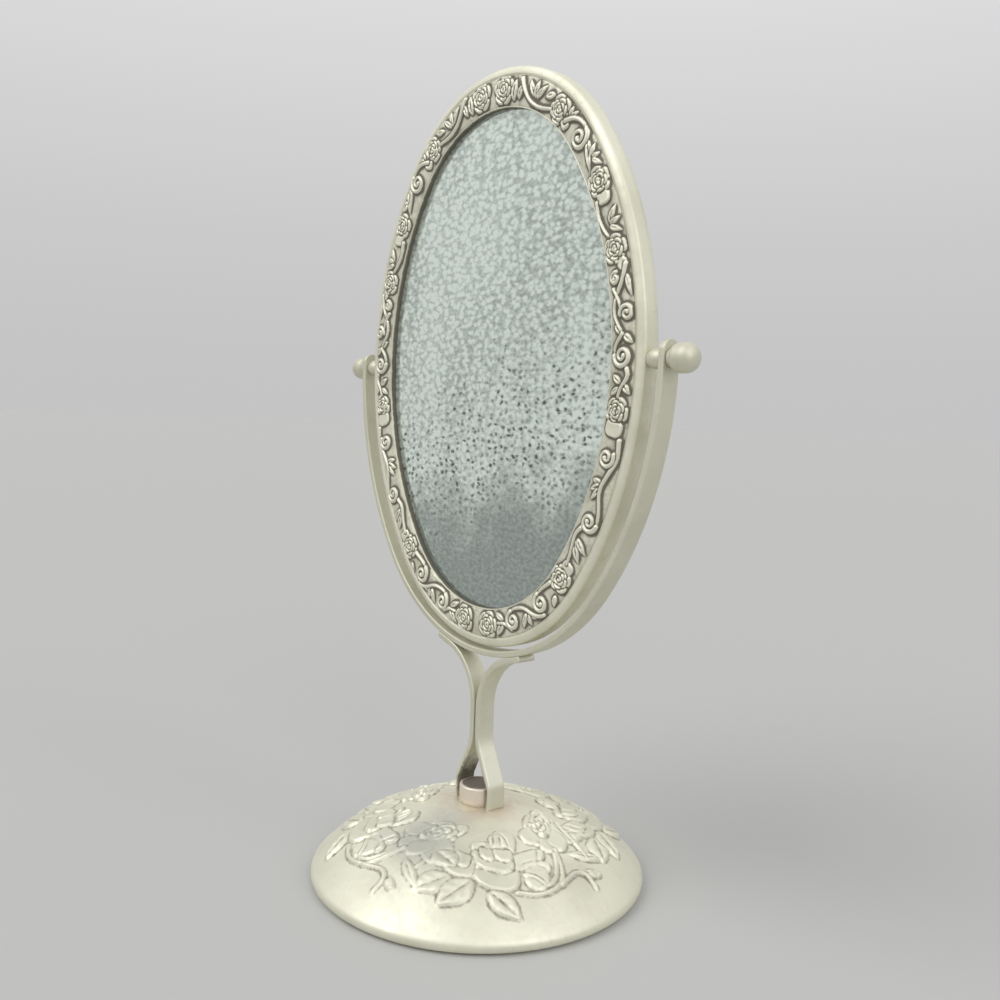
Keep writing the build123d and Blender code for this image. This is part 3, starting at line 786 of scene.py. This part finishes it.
# Ornament of one cluster on the base, in degrees round the base and distances down from the seat
DOME_ORNAMENT = {
    "roses": [
        ((106.5, 15.8), 9.0, 0.9, 0.18),
    ],
    "petals": [
        ((60.3, 25.4), (59.8, 36.4), 15.4, 0.62),
        ((67.0, 26.6), (90.0, 24.4), 6.6, 0.70),
        ((53.0, 25.6), (42.6, 23.2), 5.8, 0.62),
        ((57.4, 21.4), (54.2, 15.8), 9.4, 0.72),
        ((66.4, 19.6), (73.6, 11.4), 8.8, 0.66),
        ((66.0, 18.8), (64.0, 12.6), 5.6, 0.78),
        ((60.4, 22.0), (58.8, 29.4), 13.6, 0.86),
        ((57.2, 19.4), (57.0, 25.0), 5.2, 1.0),
        ((66.4, 20.2), (65.6, 26.0), 6.4, 1.0),
        ((40.2, 21.4), (42.4, 31.4), 10.6, 0.62),
        ((37.8, 20.4), (37.8, 27.4), 5.4, 0.80),
        ((43.6, 21.4), (43.2, 27.6), 5.2, 0.86),
        ((75.6, 29.4), (88.0, 30.4), 5.6, 0.72),
        ((80.4, 30.6), (76.2, 37.8), 8.4, 0.58),
        ((97.0, 15.4), (83.6, 16.6), 8.0, 0.56),
        ((101.0, 20.4), (93.4, 25.4), 8.0, 0.60),
        ((112.0, 18.8), (122.6, 26.0), 8.0, 0.60),
        ((106.0, 19.6), (106.0, 26.4), 8.0, 0.52),
    ],
    "leaves": [
        ((39.6, 31.0), (26.2, 38.6), 7.2),
        ((49.6, 32.4), (37.2, 42.2), 7.8),
        ((56.4, 36.6), (66.8, 46.6), 8.4),
        ((117.0, 22.0), (131.0, 27.6), 6.0),
        ((103.4, 28.6), (117.6, 38.0), 3.2),
    ],
    "stems": [
        ([(98.0, 25.0), (93.6, 31.6), (88.4, 37.6), (77.0, 39.8), (68.0, 37.4)], 1.7),
        ([(95.4, 26.6), (91.0, 31.6), (85.4, 36.2), (77.0, 37.4)], 1.2),
        ([(87.6, 37.8), (92.6, 36.4), (98.4, 35.4), (102.4, 38.2), (101.2, 44.0)], 1.5),
        ([(74.0, 31.4), (78.0, 33.0), (80.6, 36.4)], 1.2),
        ([(34.0, 17.6), (28.0, 21.0), (23.6, 28.0), (20.0, 33.4)], 1.2),
    ],
    "curls": [
        ((15.4, 39.2), 2.0, -60, 1.2, 1.1),
    ],
}


def band_ground(inset):
    """Depth of the plain ground of the carved band: a low arch."""
    return BAND_FRONT + BAND_FALL * ((inset - BAND_CREST) / BAND_REACH) ** 2


def band_surface():
    """Arched band carried round the oval, with the ornament raised forwards from it.

    Returns the surface and its tarnish.
    """
    shares = np.arange(BAND_STEPS) / BAND_STEPS
    facing, length = even_facings(half_width, half_height, BAND_CREST, shares)
    along = shares * length
    inner_edge = FRAME_BORDER - BAND_INNER_GAP
    band = np.linspace(inner_edge, BAND_EDGE, BAND_COLUMNS)
    relief = np.zeros((BAND_STEPS, BAND_COLUMNS))
    b = np.broadcast_to(band[None, :], relief.shape)
    for half in (along, length - along):
        carve(relief, np.broadcast_to(half[:, None], relief.shape), b, FRAME_ORNAMENT, BAND_RELIEF)
    relief *= rise(band - BAND_EDGE, BAND_SOFTNESS) * rise(inner_edge - band, BAND_SOFTNESS)
    relief = softened(relief, 1)
    ground = GROUND_FILM * (1 - rise(relief, GROUND_RISE))
    tarnish = np.zeros((BAND_STEPS, BAND_COLUMNS + 2))
    tarnish[:, :BAND_COLUMNS] = tarnish_of(relief, *BAND_PASSES) + ground
    inset = np.concatenate([band, [band[-1], band[0]]])
    plain = np.concatenate([band_ground(band), [BAND_BACK, BAND_BACK]])
    depth = np.repeat(plain[None, :], BAND_STEPS, 0)
    depth[:, :BAND_COLUMNS] -= relief
    depth[:, [0, BAND_COLUMNS - 1]] += BAND_EDGE_DROP
    across, up = oval_points(half_width, half_height, facing[:, None], inset[None, :])
    return ring(np.stack([across, depth, pivot + up], -1)), tarnish


def moulding_surface():
    """Plain part of the frame carried round the oval: lip, band's seat, groove, shoulder, wall and back.

    Returns the surface and its painted shade: dark on the lip's inner wall by the glass and in the groove.
    """
    facing, _ = even_facings(half_width, half_height, 0.0, np.arange(FRAME_STEPS) / FRAME_STEPS)
    crest = band_ground(FRAME_BORDER) - LIP_PROUD
    lip = [(FRAME_BORDER, depth) for depth in (glass_front, *LIP_WALL)]
    lip += [(FRAME_BORDER - out, crest + drop) for out, drop in LIP_CROWN]
    bend = np.linspace(0, np.pi / 2, SHOULDER_POINTS)
    shoulder_depth = SHOULDER_BACK + (SHOULDER_FRONT - SHOULDER_BACK) * np.cos(bend)
    shoulder = np.stack([SHOULDER_WIDTH * (1 - np.sin(bend)), shoulder_depth], -1)
    back = frame_high[1]
    wall = [(0, depth) for depth in WALL_DEPTHS]
    wall += [(inset, back - forward) for inset, forward in BACK_EDGE]
    pocket = [(POCKET_INSET, back), (POCKET_INSET, glass_front)]
    section = np.concatenate([lip, SEAT_SECTION, GROOVE_SECTION, shoulder, wall, pocket])
    groove_end = len(lip) + len(SEAT_SECTION) + len(GROOVE_SECTION)
    # Painted shade: dark on the lip's inner wall and in the groove, where shade falls
    shade_and_tarnish = np.zeros(len(section))
    shade_and_tarnish[: len(LIP_PAINTED_SHADE)] = LIP_PAINTED_SHADE
    shade_and_tarnish[len(lip) - 1 : groove_end] = GROOVE_PAINTED_SHADE
    across, up = oval_points(half_width, half_height, facing[:, None], section[None, :, 0])
    depth = np.broadcast_to(section[None, :, 1], across.shape)
    return ring(np.stack([across, depth, pivot + up], -1)), np.broadcast_to(shade_and_tarnish, across.shape)


def bezier(start, end, share):
    """Side of the dome: a crown that falls gently, then turns down steeply."""
    start, end = np.array(start), np.array(end)
    first, second = (start + np.array(pull) * (end - start) for pull in DOME_SHARES)
    t = np.reshape(share, (-1, 1))
    return (1 - t) ** 3 * start + 3 * (1 - t) ** 2 * t * first + 3 * (1 - t) * t**2 * second + t**3 * end


def dome_section():
    """Section of the base, its side before the rim is eased into it, and distances down that side.

    The section is in places out from the axis and up: side, rim, underside, inside and seat.
    """
    radius, top = dome_high[0], dome_high[2]
    rim_middle = np.array([radius - RIM_RADIUS, RIM_LIFT + RIM_RADIUS])
    rim_join = rim_middle + RIM_RADIUS * np.array([np.cos(RIM_JOIN), np.sin(RIM_JOIN)])
    fine = bezier((SEAT_RADIUS, top), rim_join, np.linspace(0, 1, DOME_FINE_POINTS))
    fine_down = running_total(np.hypot(*np.diff(fine, axis=0).T))
    down = np.linspace(0, fine_down[-1], DOME_COLUMNS)
    side = np.stack([np.interp(down, fine_down, fine[:, 0]), np.interp(down, fine_down, fine[:, 1])], -1)
    bend = np.linspace(RIM_JOIN, -np.pi / 2, RIM_POINTS)[1:, None]
    rim = rim_middle + RIM_RADIUS * np.concatenate([np.cos(bend), np.sin(bend)], 1)
    recess, ceiling = felt_high[0] + PLATE_CLEARANCE, top - DOME_WALL
    ledge = (recess - PLATE_LEDGE, PLATE_TOP)
    underside = [(recess, RIM_LIFT), (recess, PLATE_TOP), ledge]
    inside = bezier((SEAT_RADIUS - DOME_WALL, ceiling), ledge, np.linspace(0, 1, DOME_INSIDE_POINTS))
    hole = [(BOLT_HOLE_RADIUS, ceiling), (BOLT_HOLE_RADIUS, top)]
    seat = [(seat_radius, top) for seat_radius in SEAT_RINGS]
    section = np.concatenate([side, rim, underside, inside[::-1][1:], hole, seat])
    start, end = DOME_COLUMNS - JOIN_REACH, DOME_COLUMNS + JOIN_REACH
    for _ in range(JOIN_PASSES):
        eased = (section[:-2] + 2 * section[1:-1] + section[2:]) / 4
        section[start:end] = eased[start - 1 : end - 1]
    return section, side, down


def degrees_from(angle, middle):
    """Turn from a middle, in degrees, the short way round."""
    return (angle - middle + 180) % 360 - 180


def placed(motif, kind, down, radius):
    """Motif of the base with its places turned from degrees into distances round the base."""

    def flat(place):
        return (np.radians(place[0] - CLUSTER_MIDDLE) * np.interp(place[1], down, radius), place[1])

    if kind in ("petals", "leaves"):
        return (flat(motif[0]), flat(motif[1]), *motif[2:])
    if kind == "stems":
        return ([flat(place) for place in motif[0]], motif[1])
    return (flat(motif[0]), *motif[1:])


def dome_surface():
    """Section of the base turned about its axis, with the clusters raised from its side.

    Returns the surface and its values of wear.
    """
    section, side, down = dome_section()
    slope = np.gradient(side, axis=0)
    slope /= np.hypot(slope[:, :1], slope[:, 1:])
    angle = np.arange(DOME_STEPS) / DOME_STEPS * 360.0
    relief = np.zeros((DOME_STEPS, DOME_COLUMNS))
    b = np.broadcast_to(down[None, :], relief.shape)
    ornament = {
        kind: [placed(motif, kind, down, side[:, 0]) for motif in motifs]
        for kind, motifs in DOME_ORNAMENT.items()
    }
    for cluster in range(CLUSTERS):
        turn = degrees_from(angle, CLUSTER_MIDDLE + 360.0 / CLUSTERS * cluster)
        carve(relief, np.radians(turn)[:, None] * side[None, :, 0], b, ornament, DOME_RELIEF)
    worn = bell(degrees_from(angle, WORN_MIDDLE), WORN_SPREAD)
    relief = softened(relief, 1) * (1 - WORN_SHARE * worn[:, None])

    wear = {name: np.zeros((DOME_STEPS, len(section))) for name in ("tarnish", "copper", "grey_patch")}
    wear["tarnish"][:, :DOME_COLUMNS] = DOME_TARNISH * tarnish_of(relief, *DOME_PASSES)
    upper = section[:, 1] > dome_high[2] / 2
    wear["copper"][:] = bell(section[:, 0] - COPPER_RADIUS, COPPER_SPREAD) * upper
    patch_spread = bell(degrees_from(angle, GREY_PATCH_MIDDLE), GREY_PATCH_SPREAD)
    wear["grey_patch"][:, :DOME_COLUMNS] = GREY_PATCH_SHARE * patch_spread[:, None] * rise(GREY_PATCH_END - down, GREY_PATCH_FADE)

    reach = np.repeat(section[None, :, 0], DOME_STEPS, 0)
    height = np.repeat(section[None, :, 1], DOME_STEPS, 0)
    reach[:, :DOME_COLUMNS] -= relief * slope[:, 1]
    height[:, :DOME_COLUMNS] += relief * slope[:, 0]
    facing = np.radians(angle)[:, None]
    return ring(np.stack([reach * np.sin(facing), -reach * np.cos(facing), height], -1)), wear


# Materials


def join(value, socket):
    """Links a value to a socket, or sets it there if it is a plain one."""
    if isinstance(value, bpy.types.NodeSocket):
        socket.id_data.links.new(value, socket)
    else:
        socket.default_value = value


def made(tree, kind, inputs, **settings):
    """Outputs of a new node of a tree, with its settings made and its inputs set or joined.

    The functions below find the tree as the id_data of a socket that they are given.
    """
    node = tree.nodes.new("ShaderNode" + kind)
    for name, setting in settings.items():
        setattr(node, name, setting)
    for socket, value in inputs.items():
        join(value, node.inputs[socket])
    return node.outputs


def object_place(tree):
    """Place on the object, in metres."""
    return made(tree, "TexCoord", {})["Object"]


def attribute(tree, name):
    """Value kept at the points of a piece."""
    return made(tree, "Attribute", {}, attribute_name=name)["Fac"]


def stretched(place, scale, turn=0.0):
    """Place stretched along its axes, then turned about the first of them."""
    inputs = {"Vector": place, "Scale": scale, "Rotation": (turn, 0, 0)}
    return made(place.id_data, "Mapping", inputs)["Vector"]


def wandered(place, scale, reach):
    """Place moved about by a cloudy pattern, up to a reach."""
    cloud = made(place.id_data, "TexNoise", {"Vector": place, "Scale": scale})["Color"]
    inputs = {0: cloud, 1: (reach, reach, reach), 2: place}
    return made(place.id_data, "VectorMath", inputs, operation="MULTIPLY_ADD")[0]


def noise(place, scale, detail=4.0, roughness=0.55):
    """Cloudy value from 0 to 1."""
    inputs = {"Vector": place, "Scale": scale, "Detail": detail, "Roughness": roughness}
    return made(place.id_data, "TexNoise", inputs)[0]


def cells(place, scale):
    """Distance to the middle of the nearest of many small flat cells, and a random value of that cell."""
    inputs = {"Vector": place, "Scale": scale}
    cell = made(place.id_data, "TexVoronoi", inputs, feature="F1", voronoi_dimensions="2D")
    return cell["Distance"], made(place.id_data, "SeparateColor", {0: cell["Color"]})[0]


def span(value, low, high, new_low=0.0, new_high=1.0):
    """Value moved smoothly from one range to another."""
    inputs = {"Value": value, "From Min": low, "From Max": high, "To Min": new_low, "To Max": new_high}
    return made(value.id_data, "MapRange", inputs, interpolation_type="SMOOTHSTEP")["Result"]


def maths(operation, first, second):
    """Sum, product or other result of two values."""
    return made(first.id_data, "Math", {0: first, 1: second}, operation=operation)[0]


def blend(share, first, second):
    """Colour between two others."""
    return made(share.id_data, "Mix", {0: share, 6: first, 7: second}, data_type="RGBA")[2]


def bumped(height, strength, distance):
    """Normal of a surface with small heights on it."""
    inputs = {"Strength": strength, "Distance": distance, "Height": height}
    return made(height.id_data, "Bump", inputs)["Normal"]


def new_group(name, inputs, outputs):
    """Node group with its sockets, and its inputs and outputs to join."""
    tree = bpy.data.node_groups.new(name, "ShaderNodeTree")
    for way, sockets in (("INPUT", inputs), ("OUTPUT", outputs)):
        for socket, kind in sockets.items():
            tree.interface.new_socket(name=socket, in_out=way, socket_type="NodeSocket" + kind)
    return tree, tree.nodes.new("NodeGroupInput").outputs, tree.nodes.new("NodeGroupOutput").inputs


def aged_plate_group():
    """Aged silver plate: clouds of tarnish, dark in the hollows, bright rubbed edges and fine pitting.

    Copper shows where the plate is worn, and a grey patch where a piece gives it. The same dark and bright
    colours also carry the painted shade and painted highlight that some pieces give.
    """
    tree, given, result = new_group(
        "aged_plate",
        {"Plate": "Color", "Cloud": "Color", "Clouding": "Float", "Grain": "Float"},
        {"Colour": "Color", "Metal": "Float", "Roughness": "Float", "Normal": "Vector"},
    )
    place = object_place(tree)
    shade_and_tarnish, worn = attribute(tree, "tarnish"), attribute(tree, "copper")
    broad, fine, grit = noise(place, 38.0), noise(place, 420.0), noise(place, 2600.0, 2.0)
    clouds = maths("MULTIPLY", span(broad, 0.42, 0.72), given["Clouding"])
    colour = blend(clouds, given["Plate"], given["Cloud"])
    spots = maths("MULTIPLY", span(fine, 0.58, 0.76), 0.35)
    colour = blend(spots, colour, given["Cloud"])
    copper = maths("MULTIPLY", worn, span(noise(place, 95.0), 0.34, 0.66, 0.15, 0.75))
    colour = blend(copper, colour, COPPER_TINT)
    # Greyer patch where the base gives it
    grey_patch = maths("MULTIPLY", attribute(tree, "grey_patch"), span(broad, 0.34, 0.60, 0.55, 1.0))
    colour = blend(grey_patch, colour, GREY_PATCH_TINT)
    # Bright rubbed plate on what stands proud, and the painted highlight on the straps' slant
    rubbed_and_lit = span(shade_and_tarnish, -0.15, -0.9, 0.0, 0.4)
    colour = blend(rubbed_and_lit, colour, RUBBED_AND_LIT_TINT)
    # Dark tarnish in the hollows, and painted shade where a piece gives it
    uneven = maths("ADD", shade_and_tarnish, span(fine, 0.3, 0.7, -0.12, 0.12))
    dark = span(uneven, 0.14, 0.85)
    colour = blend(maths("MULTIPLY", dark, 0.85), colour, TARNISH_AND_SHADE_TINT)
    join(colour, result["Colour"])
    join(span(dark, 0.0, 1.0, 0.62, 0.2), result["Metal"])
    rough = span(maths("ADD", broad, fine), 0.6, 1.4, 0.42, 0.58)
    join(maths("ADD", rough, maths("MULTIPLY", dark, 0.25)), result["Roughness"])
    pits = maths("ADD", maths("MULTIPLY", fine, 0.7), maths("MULTIPLY", grit, 0.3))
    join(bumped(pits, given["Grain"], 0.0004), result["Normal"])
    return tree


def silver_and_reflection_group():
    """Silvering with a painted reflection in it: light flecks high up, dark dots lower down, and dark grey
    over its foot.

    The zones slant.
    """
    tree, given, result = new_group(
        "silver_and_painted_reflection", {"Silver": "Color", "Reflected_Dark": "Color"}, {"Colour": "Color", "Roughness": "Float"}
    )
    place = object_place(tree)
    axes = made(tree, "SeparateXYZ", {0: place})
    slant = maths("MULTIPLY", axes["X"], REFLECTION_SLANT)
    height = maths("SUBTRACT", axes["Z"], slant)
    height = maths("SUBTRACT", height, pivot * MM)
    height = maths("ADD", height, span(noise(place, 40.0), 0.3, 0.7, -0.012, 0.012))
    flat_place = stretched(place, (0.70, 1.0, 1.0), np.pi / 2)
    face_place = wandered(flat_place, 420.0, 0.0022)
    from_fleck, _ = cells(face_place, 430.0)
    from_dot, random = cells(face_place, 450.0)
    speckle = noise(flat_place, 800.0, 3.0)
    streaks = noise(stretched(place, (1.0, 1.0, 0.35)), 34.0, 2.0)
    flecks = span(from_fleck, 0.10, 0.60, -0.10, 0.34)
    shade = span(streaks, 0.36, 0.64, -0.06, 0.12)
    strength = span(random, 0.0, 1.0, 0.25, 0.9)
    dots = maths("MULTIPLY", span(from_dot, 0.46, 0.08), strength)
    dotted = maths("ADD", maths("MULTIPLY", flecks, 0.6), dots)
    marks = maths("ADD", span(height, 0.020, -0.034, flecks, dotted), shade)
    mottled = maths("ADD", marks, span(speckle, 0.36, 0.64, 0.12, -0.16))
    # Painted reflection: dark grey over the glass's foot, below the slanting line
    share = span(height, -0.026, -0.064, mottled, span(speckle, 0.3, 0.7, 0.76, 0.58))
    join(blend(share, given["Silver"], given["Reflected_Dark"]), result["Colour"])
    join(span(share, 0.0, 1.0, 0.03, 0.14), result["Roughness"])
    return tree


def fibre_group():
    """Short tangled fibres, pressed flat: a shade and a normal."""
    tree, given, result = new_group(
        "pressed_fibre",
        {"Light": "Color", "Dark": "Color", "Scale": "Float"},
        {"Colour": "Color", "Normal": "Vector"},
    )
    fibres = noise(object_place(tree), given["Scale"], 6.0, 0.5)
    join(blend(span(fibres, 0.3, 0.7), given["Dark"], given["Light"]), result["Colour"])
    join(bumped(fibres, 0.6, 0.0006), result["Normal"])
    return tree


def brushed_group():
    """Fine drawn lines on steel: a shade, a roughness and a normal."""
    tree, given, result = new_group(
        "brushed_steel", {"Steel": "Color"}, {"Colour": "Color", "Roughness": "Float", "Normal": "Vector"}
    )
    place = object_place(tree)
    lines = noise(stretched(place, (1.0, 0.06, 1.0)), 1500.0, 3.0)
    stains = span(noise(place, 120.0), 0.5, 0.75, 0.0, 0.5)
    join(blend(stains, given["Steel"], STAIN_TINT), result["Colour"])
    join(span(lines, 0.3, 0.7, 0.28, 0.46), result["Roughness"])
    join(bumped(lines, 0.15, 0.0002), result["Normal"])
    return tree


SHADER_SOCKETS = {"Colour": "Base Color", "Metal": "Metallic", "Roughness": "Roughness", "Normal": "Normal"}


def new_material(name, group, given, plain):
    """Material whose shader has plain values set on it and a node group's outputs joined to it."""
    material = bpy.data.materials.new(name)
    material.use_nodes = True
    tree = material.node_tree
    shader = tree.nodes["Principled BSDF"]
    for socket, value in plain.items():
        shader.inputs[socket].default_value = value
    for output in made(tree, "Group", given, node_tree=group):
        join(output, shader.inputs[SHADER_SOCKETS[output.name]])
    return material


def plated(name, plate, cloud, clouding, grain):
    """Aged plate of a colour."""
    given = {"Plate": plate, "Cloud": cloud, "Clouding": clouding, "Grain": grain}
    return new_material(name, aged_plate, given, {})


aged_plate = aged_plate_group()
cast = plated("cast_plate", (0.83, 0.82, 0.675, 1), (0.61, 0.60, 0.47, 1), 0.55, 0.35)
flat_strap = plated("strap_plate", (0.70, 0.69, 0.56, 1), (0.52, 0.51, 0.40, 1), 0.45, 0.22)
sheet_plate = plated("sheet_plate", (0.76, 0.74, 0.64, 1), (0.54, 0.52, 0.43, 1), 0.60, 0.25)
worn_post = plated("worn_plate", (0.80, 0.72, 0.62, 1), (0.74, 0.62, 0.51, 1), 0.80, 0.30)
silver = new_material(
    "silvered_glass",
    silver_and_reflection_group(),
    {"Silver": (0.90, 1.0, 0.92, 1), "Reflected_Dark": (0.085, 0.11, 0.108, 1)},
    {"Metallic": 0.6, "Coat Weight": 0.5, "Coat Roughness": 0.02},
)
fibre = fibre_group()
felt_cloth = new_material(
    "felt",
    fibre,
    {"Light": (0.12, 0.165, 0.13, 1), "Dark": (0.055, 0.08, 0.062, 1), "Scale": 1400.0},
    {"Roughness": 0.95, "Sheen Weight": 0.3},
)
grey_board = new_material(
    "board",
    fibre,
    {"Light": (0.40, 0.33, 0.245, 1), "Dark": (0.29, 0.23, 0.165, 1), "Scale": 700.0},
    {"Roughness": 0.85},
)
steel = new_material(
    "steel",
    brushed_group(),
    {"Steel": (0.55, 0.55, 0.54, 1)},
    {"Metallic": 1.0},
)


# Pieces

surface, tarnish = band_surface()
make_piece("carved_band", surface, cast, "mirror_head", "plated_cast", ["frame_bezel"], tarnish=tarnish)
surface, tarnish = moulding_surface()
make_piece("frame_moulding", surface, cast, "mirror_head", "plated_cast", ["frame_bezel"], tarnish=tarnish)
surface, wear = dome_surface()
make_piece("carved_base", surface, cast, "stand", "plated_cast", ["base_dome"], **wear)
make_piece("bent_yoke", yoke_surface(), flat_strap, "stand", "plated_strap", ["yoke"])
make_piece("back_plate", cover_surface(), sheet_plate, "mirror_head", "plated_sheet", ["back_cover"])
surface, tarnish = post_surface()
make_piece("round_post", surface, worn_post, "stand", "worn_plate", ["stem_post"], tarnish=tarnish)
for side_name, side in (("right", 1), ("left", -1)):
    surface, tarnish = stem_strap_surface(side)
    for name, node_name, body, shape, wear in (
        ("bent_strap_", "stem_strap_", "stand", surface, {"tarnish": tarnish}),
        ("turned_knob_", "knob_", side_name + "_knob", knob_surface(side), {}),
        ("bead_", "pivot_spacer_", "mirror_head", spacer_surface(side), {}),
    ):
        make_piece(name + side_name, shape, flat_strap, body, "plated_strap", [node_name + side_name], **wear)
felt_pad = make_piece("felt_pad", felt_surface(), felt_cloth, "stand", "felt", ["base_felt"])

for node_name, material in (
    ("mirror_glass", silver),
    ("backing_board", grey_board),
    ("base_plate", steel),
    ("stem_bolt", steel),
    ("back_screws", steel),
    ("pivot_stud_right", steel),
    ("pivot_stud_left", steel),
):
    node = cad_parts[node_name]
    if not node.material_slots:
        node.data.materials.append(material)
    for node_slot in node.material_slots:
        node_slot.material = material


# Studio

scene = bpy.context.scene
scene.view_settings.view_transform = "Standard"

FLOOR_HALF = 20.0
FLOOR_COLOUR = (0.60, 0.60, 0.59, 1)
FLOOR_ROUGHNESS = 0.9
floor_corners = [(FLOOR_HALF * x, FLOOR_HALF * y, 0) for x, y in ((-1, -1), (1, -1), (1, 1), (-1, 1))]
floor_mesh = bpy.data.meshes.new("floor")
floor_mesh.from_pydata(floor_corners, [], [(0, 1, 2, 3)])
floor = bpy.data.objects.new("floor", floor_mesh)
scene.collection.objects.link(floor)
floor_paint = bpy.data.materials.new("floor_paint")
floor_paint.use_nodes = True
floor_shader = floor_paint.node_tree.nodes["Principled BSDF"]
floor_shader.inputs["Base Color"].default_value = FLOOR_COLOUR
floor_shader.inputs["Roughness"].default_value = FLOOR_ROUGHNESS
floor_mesh.materials.append(floor_paint)

ROOM_LIGHT = 0.55
BACKDROP_LOW, BACKDROP_HIGH = 0.555, 1.0
BACKDROP_TOP = 0.9
world = bpy.data.worlds.new("studio")
scene.world = world
world.use_nodes = True
sky = world.node_tree
background = sky.nodes["Background"]
rays = made(sky, "LightPath", {})
mirrored = maths("MAXIMUM", rays["Is Glossy Ray"], rays["Is Transmission Ray"])
seen = maths("MAXIMUM", rays["Is Camera Ray"], mirrored)
direction = made(sky, "SeparateXYZ", {0: made(sky, "TexCoord", {})["Generated"]})
backdrop = span(direction["Z"], 0.0, BACKDROP_TOP, BACKDROP_LOW, BACKDROP_HIGH)
background.inputs["Color"].default_value = (1, 1, 1, 1)
join(span(seen, 0.0, 1.0, ROOM_LIGHT, backdrop), background.inputs["Strength"])


def soft_light(name, place, spread, strength):
    """Broad, distant light that shines from a place towards the object."""
    light = bpy.data.lights.new(name, "SUN")
    light.angle = np.radians(spread)
    light.energy = strength
    lamp = bpy.data.objects.new(name, light)
    scene.collection.objects.link(lamp)
    lamp.location = place
    lamp.rotation_euler = Vector(place).to_track_quat("Z", "Y").to_euler()


soft_light("key", (-0.5, -1.6, 1.7), 44.0, 0.90)
soft_light("fill", (2.0, -0.1, 1.2), 50.0, 0.70)

CAMERA_PLACE = (277.44, -220.87, 165.34)
CAMERA_YAW, CAMERA_PITCH, CAMERA_ROLL = np.radians([50.85, 4.66, 1.93])
CAMERA_FOCAL = 1.00156
camera = bpy.data.objects.new("camera", bpy.data.cameras.new("camera"))
scene.collection.objects.link(camera)
camera.data.sensor_width = 36.0
camera.data.lens = CAMERA_FOCAL * camera.data.sensor_width
camera.data.clip_start = 0.01
forward = Vector(
    (
        -np.sin(CAMERA_YAW) * np.cos(CAMERA_PITCH),
        np.cos(CAMERA_YAW) * np.cos(CAMERA_PITCH),
        -np.sin(CAMERA_PITCH),
    )
)
level_right = Vector((np.cos(CAMERA_YAW), np.sin(CAMERA_YAW), 0))
level_up = level_right.cross(forward)
right = np.cos(CAMERA_ROLL) * level_right + np.sin(CAMERA_ROLL) * level_up
up = np.cos(CAMERA_ROLL) * level_up - np.sin(CAMERA_ROLL) * level_right
camera_turn = Matrix((right, up, -forward)).transposed().to_4x4()
camera.matrix_world = Matrix.Translation(Vector(CAMERA_PLACE) * MM) @ camera_turn
scene.camera = camera
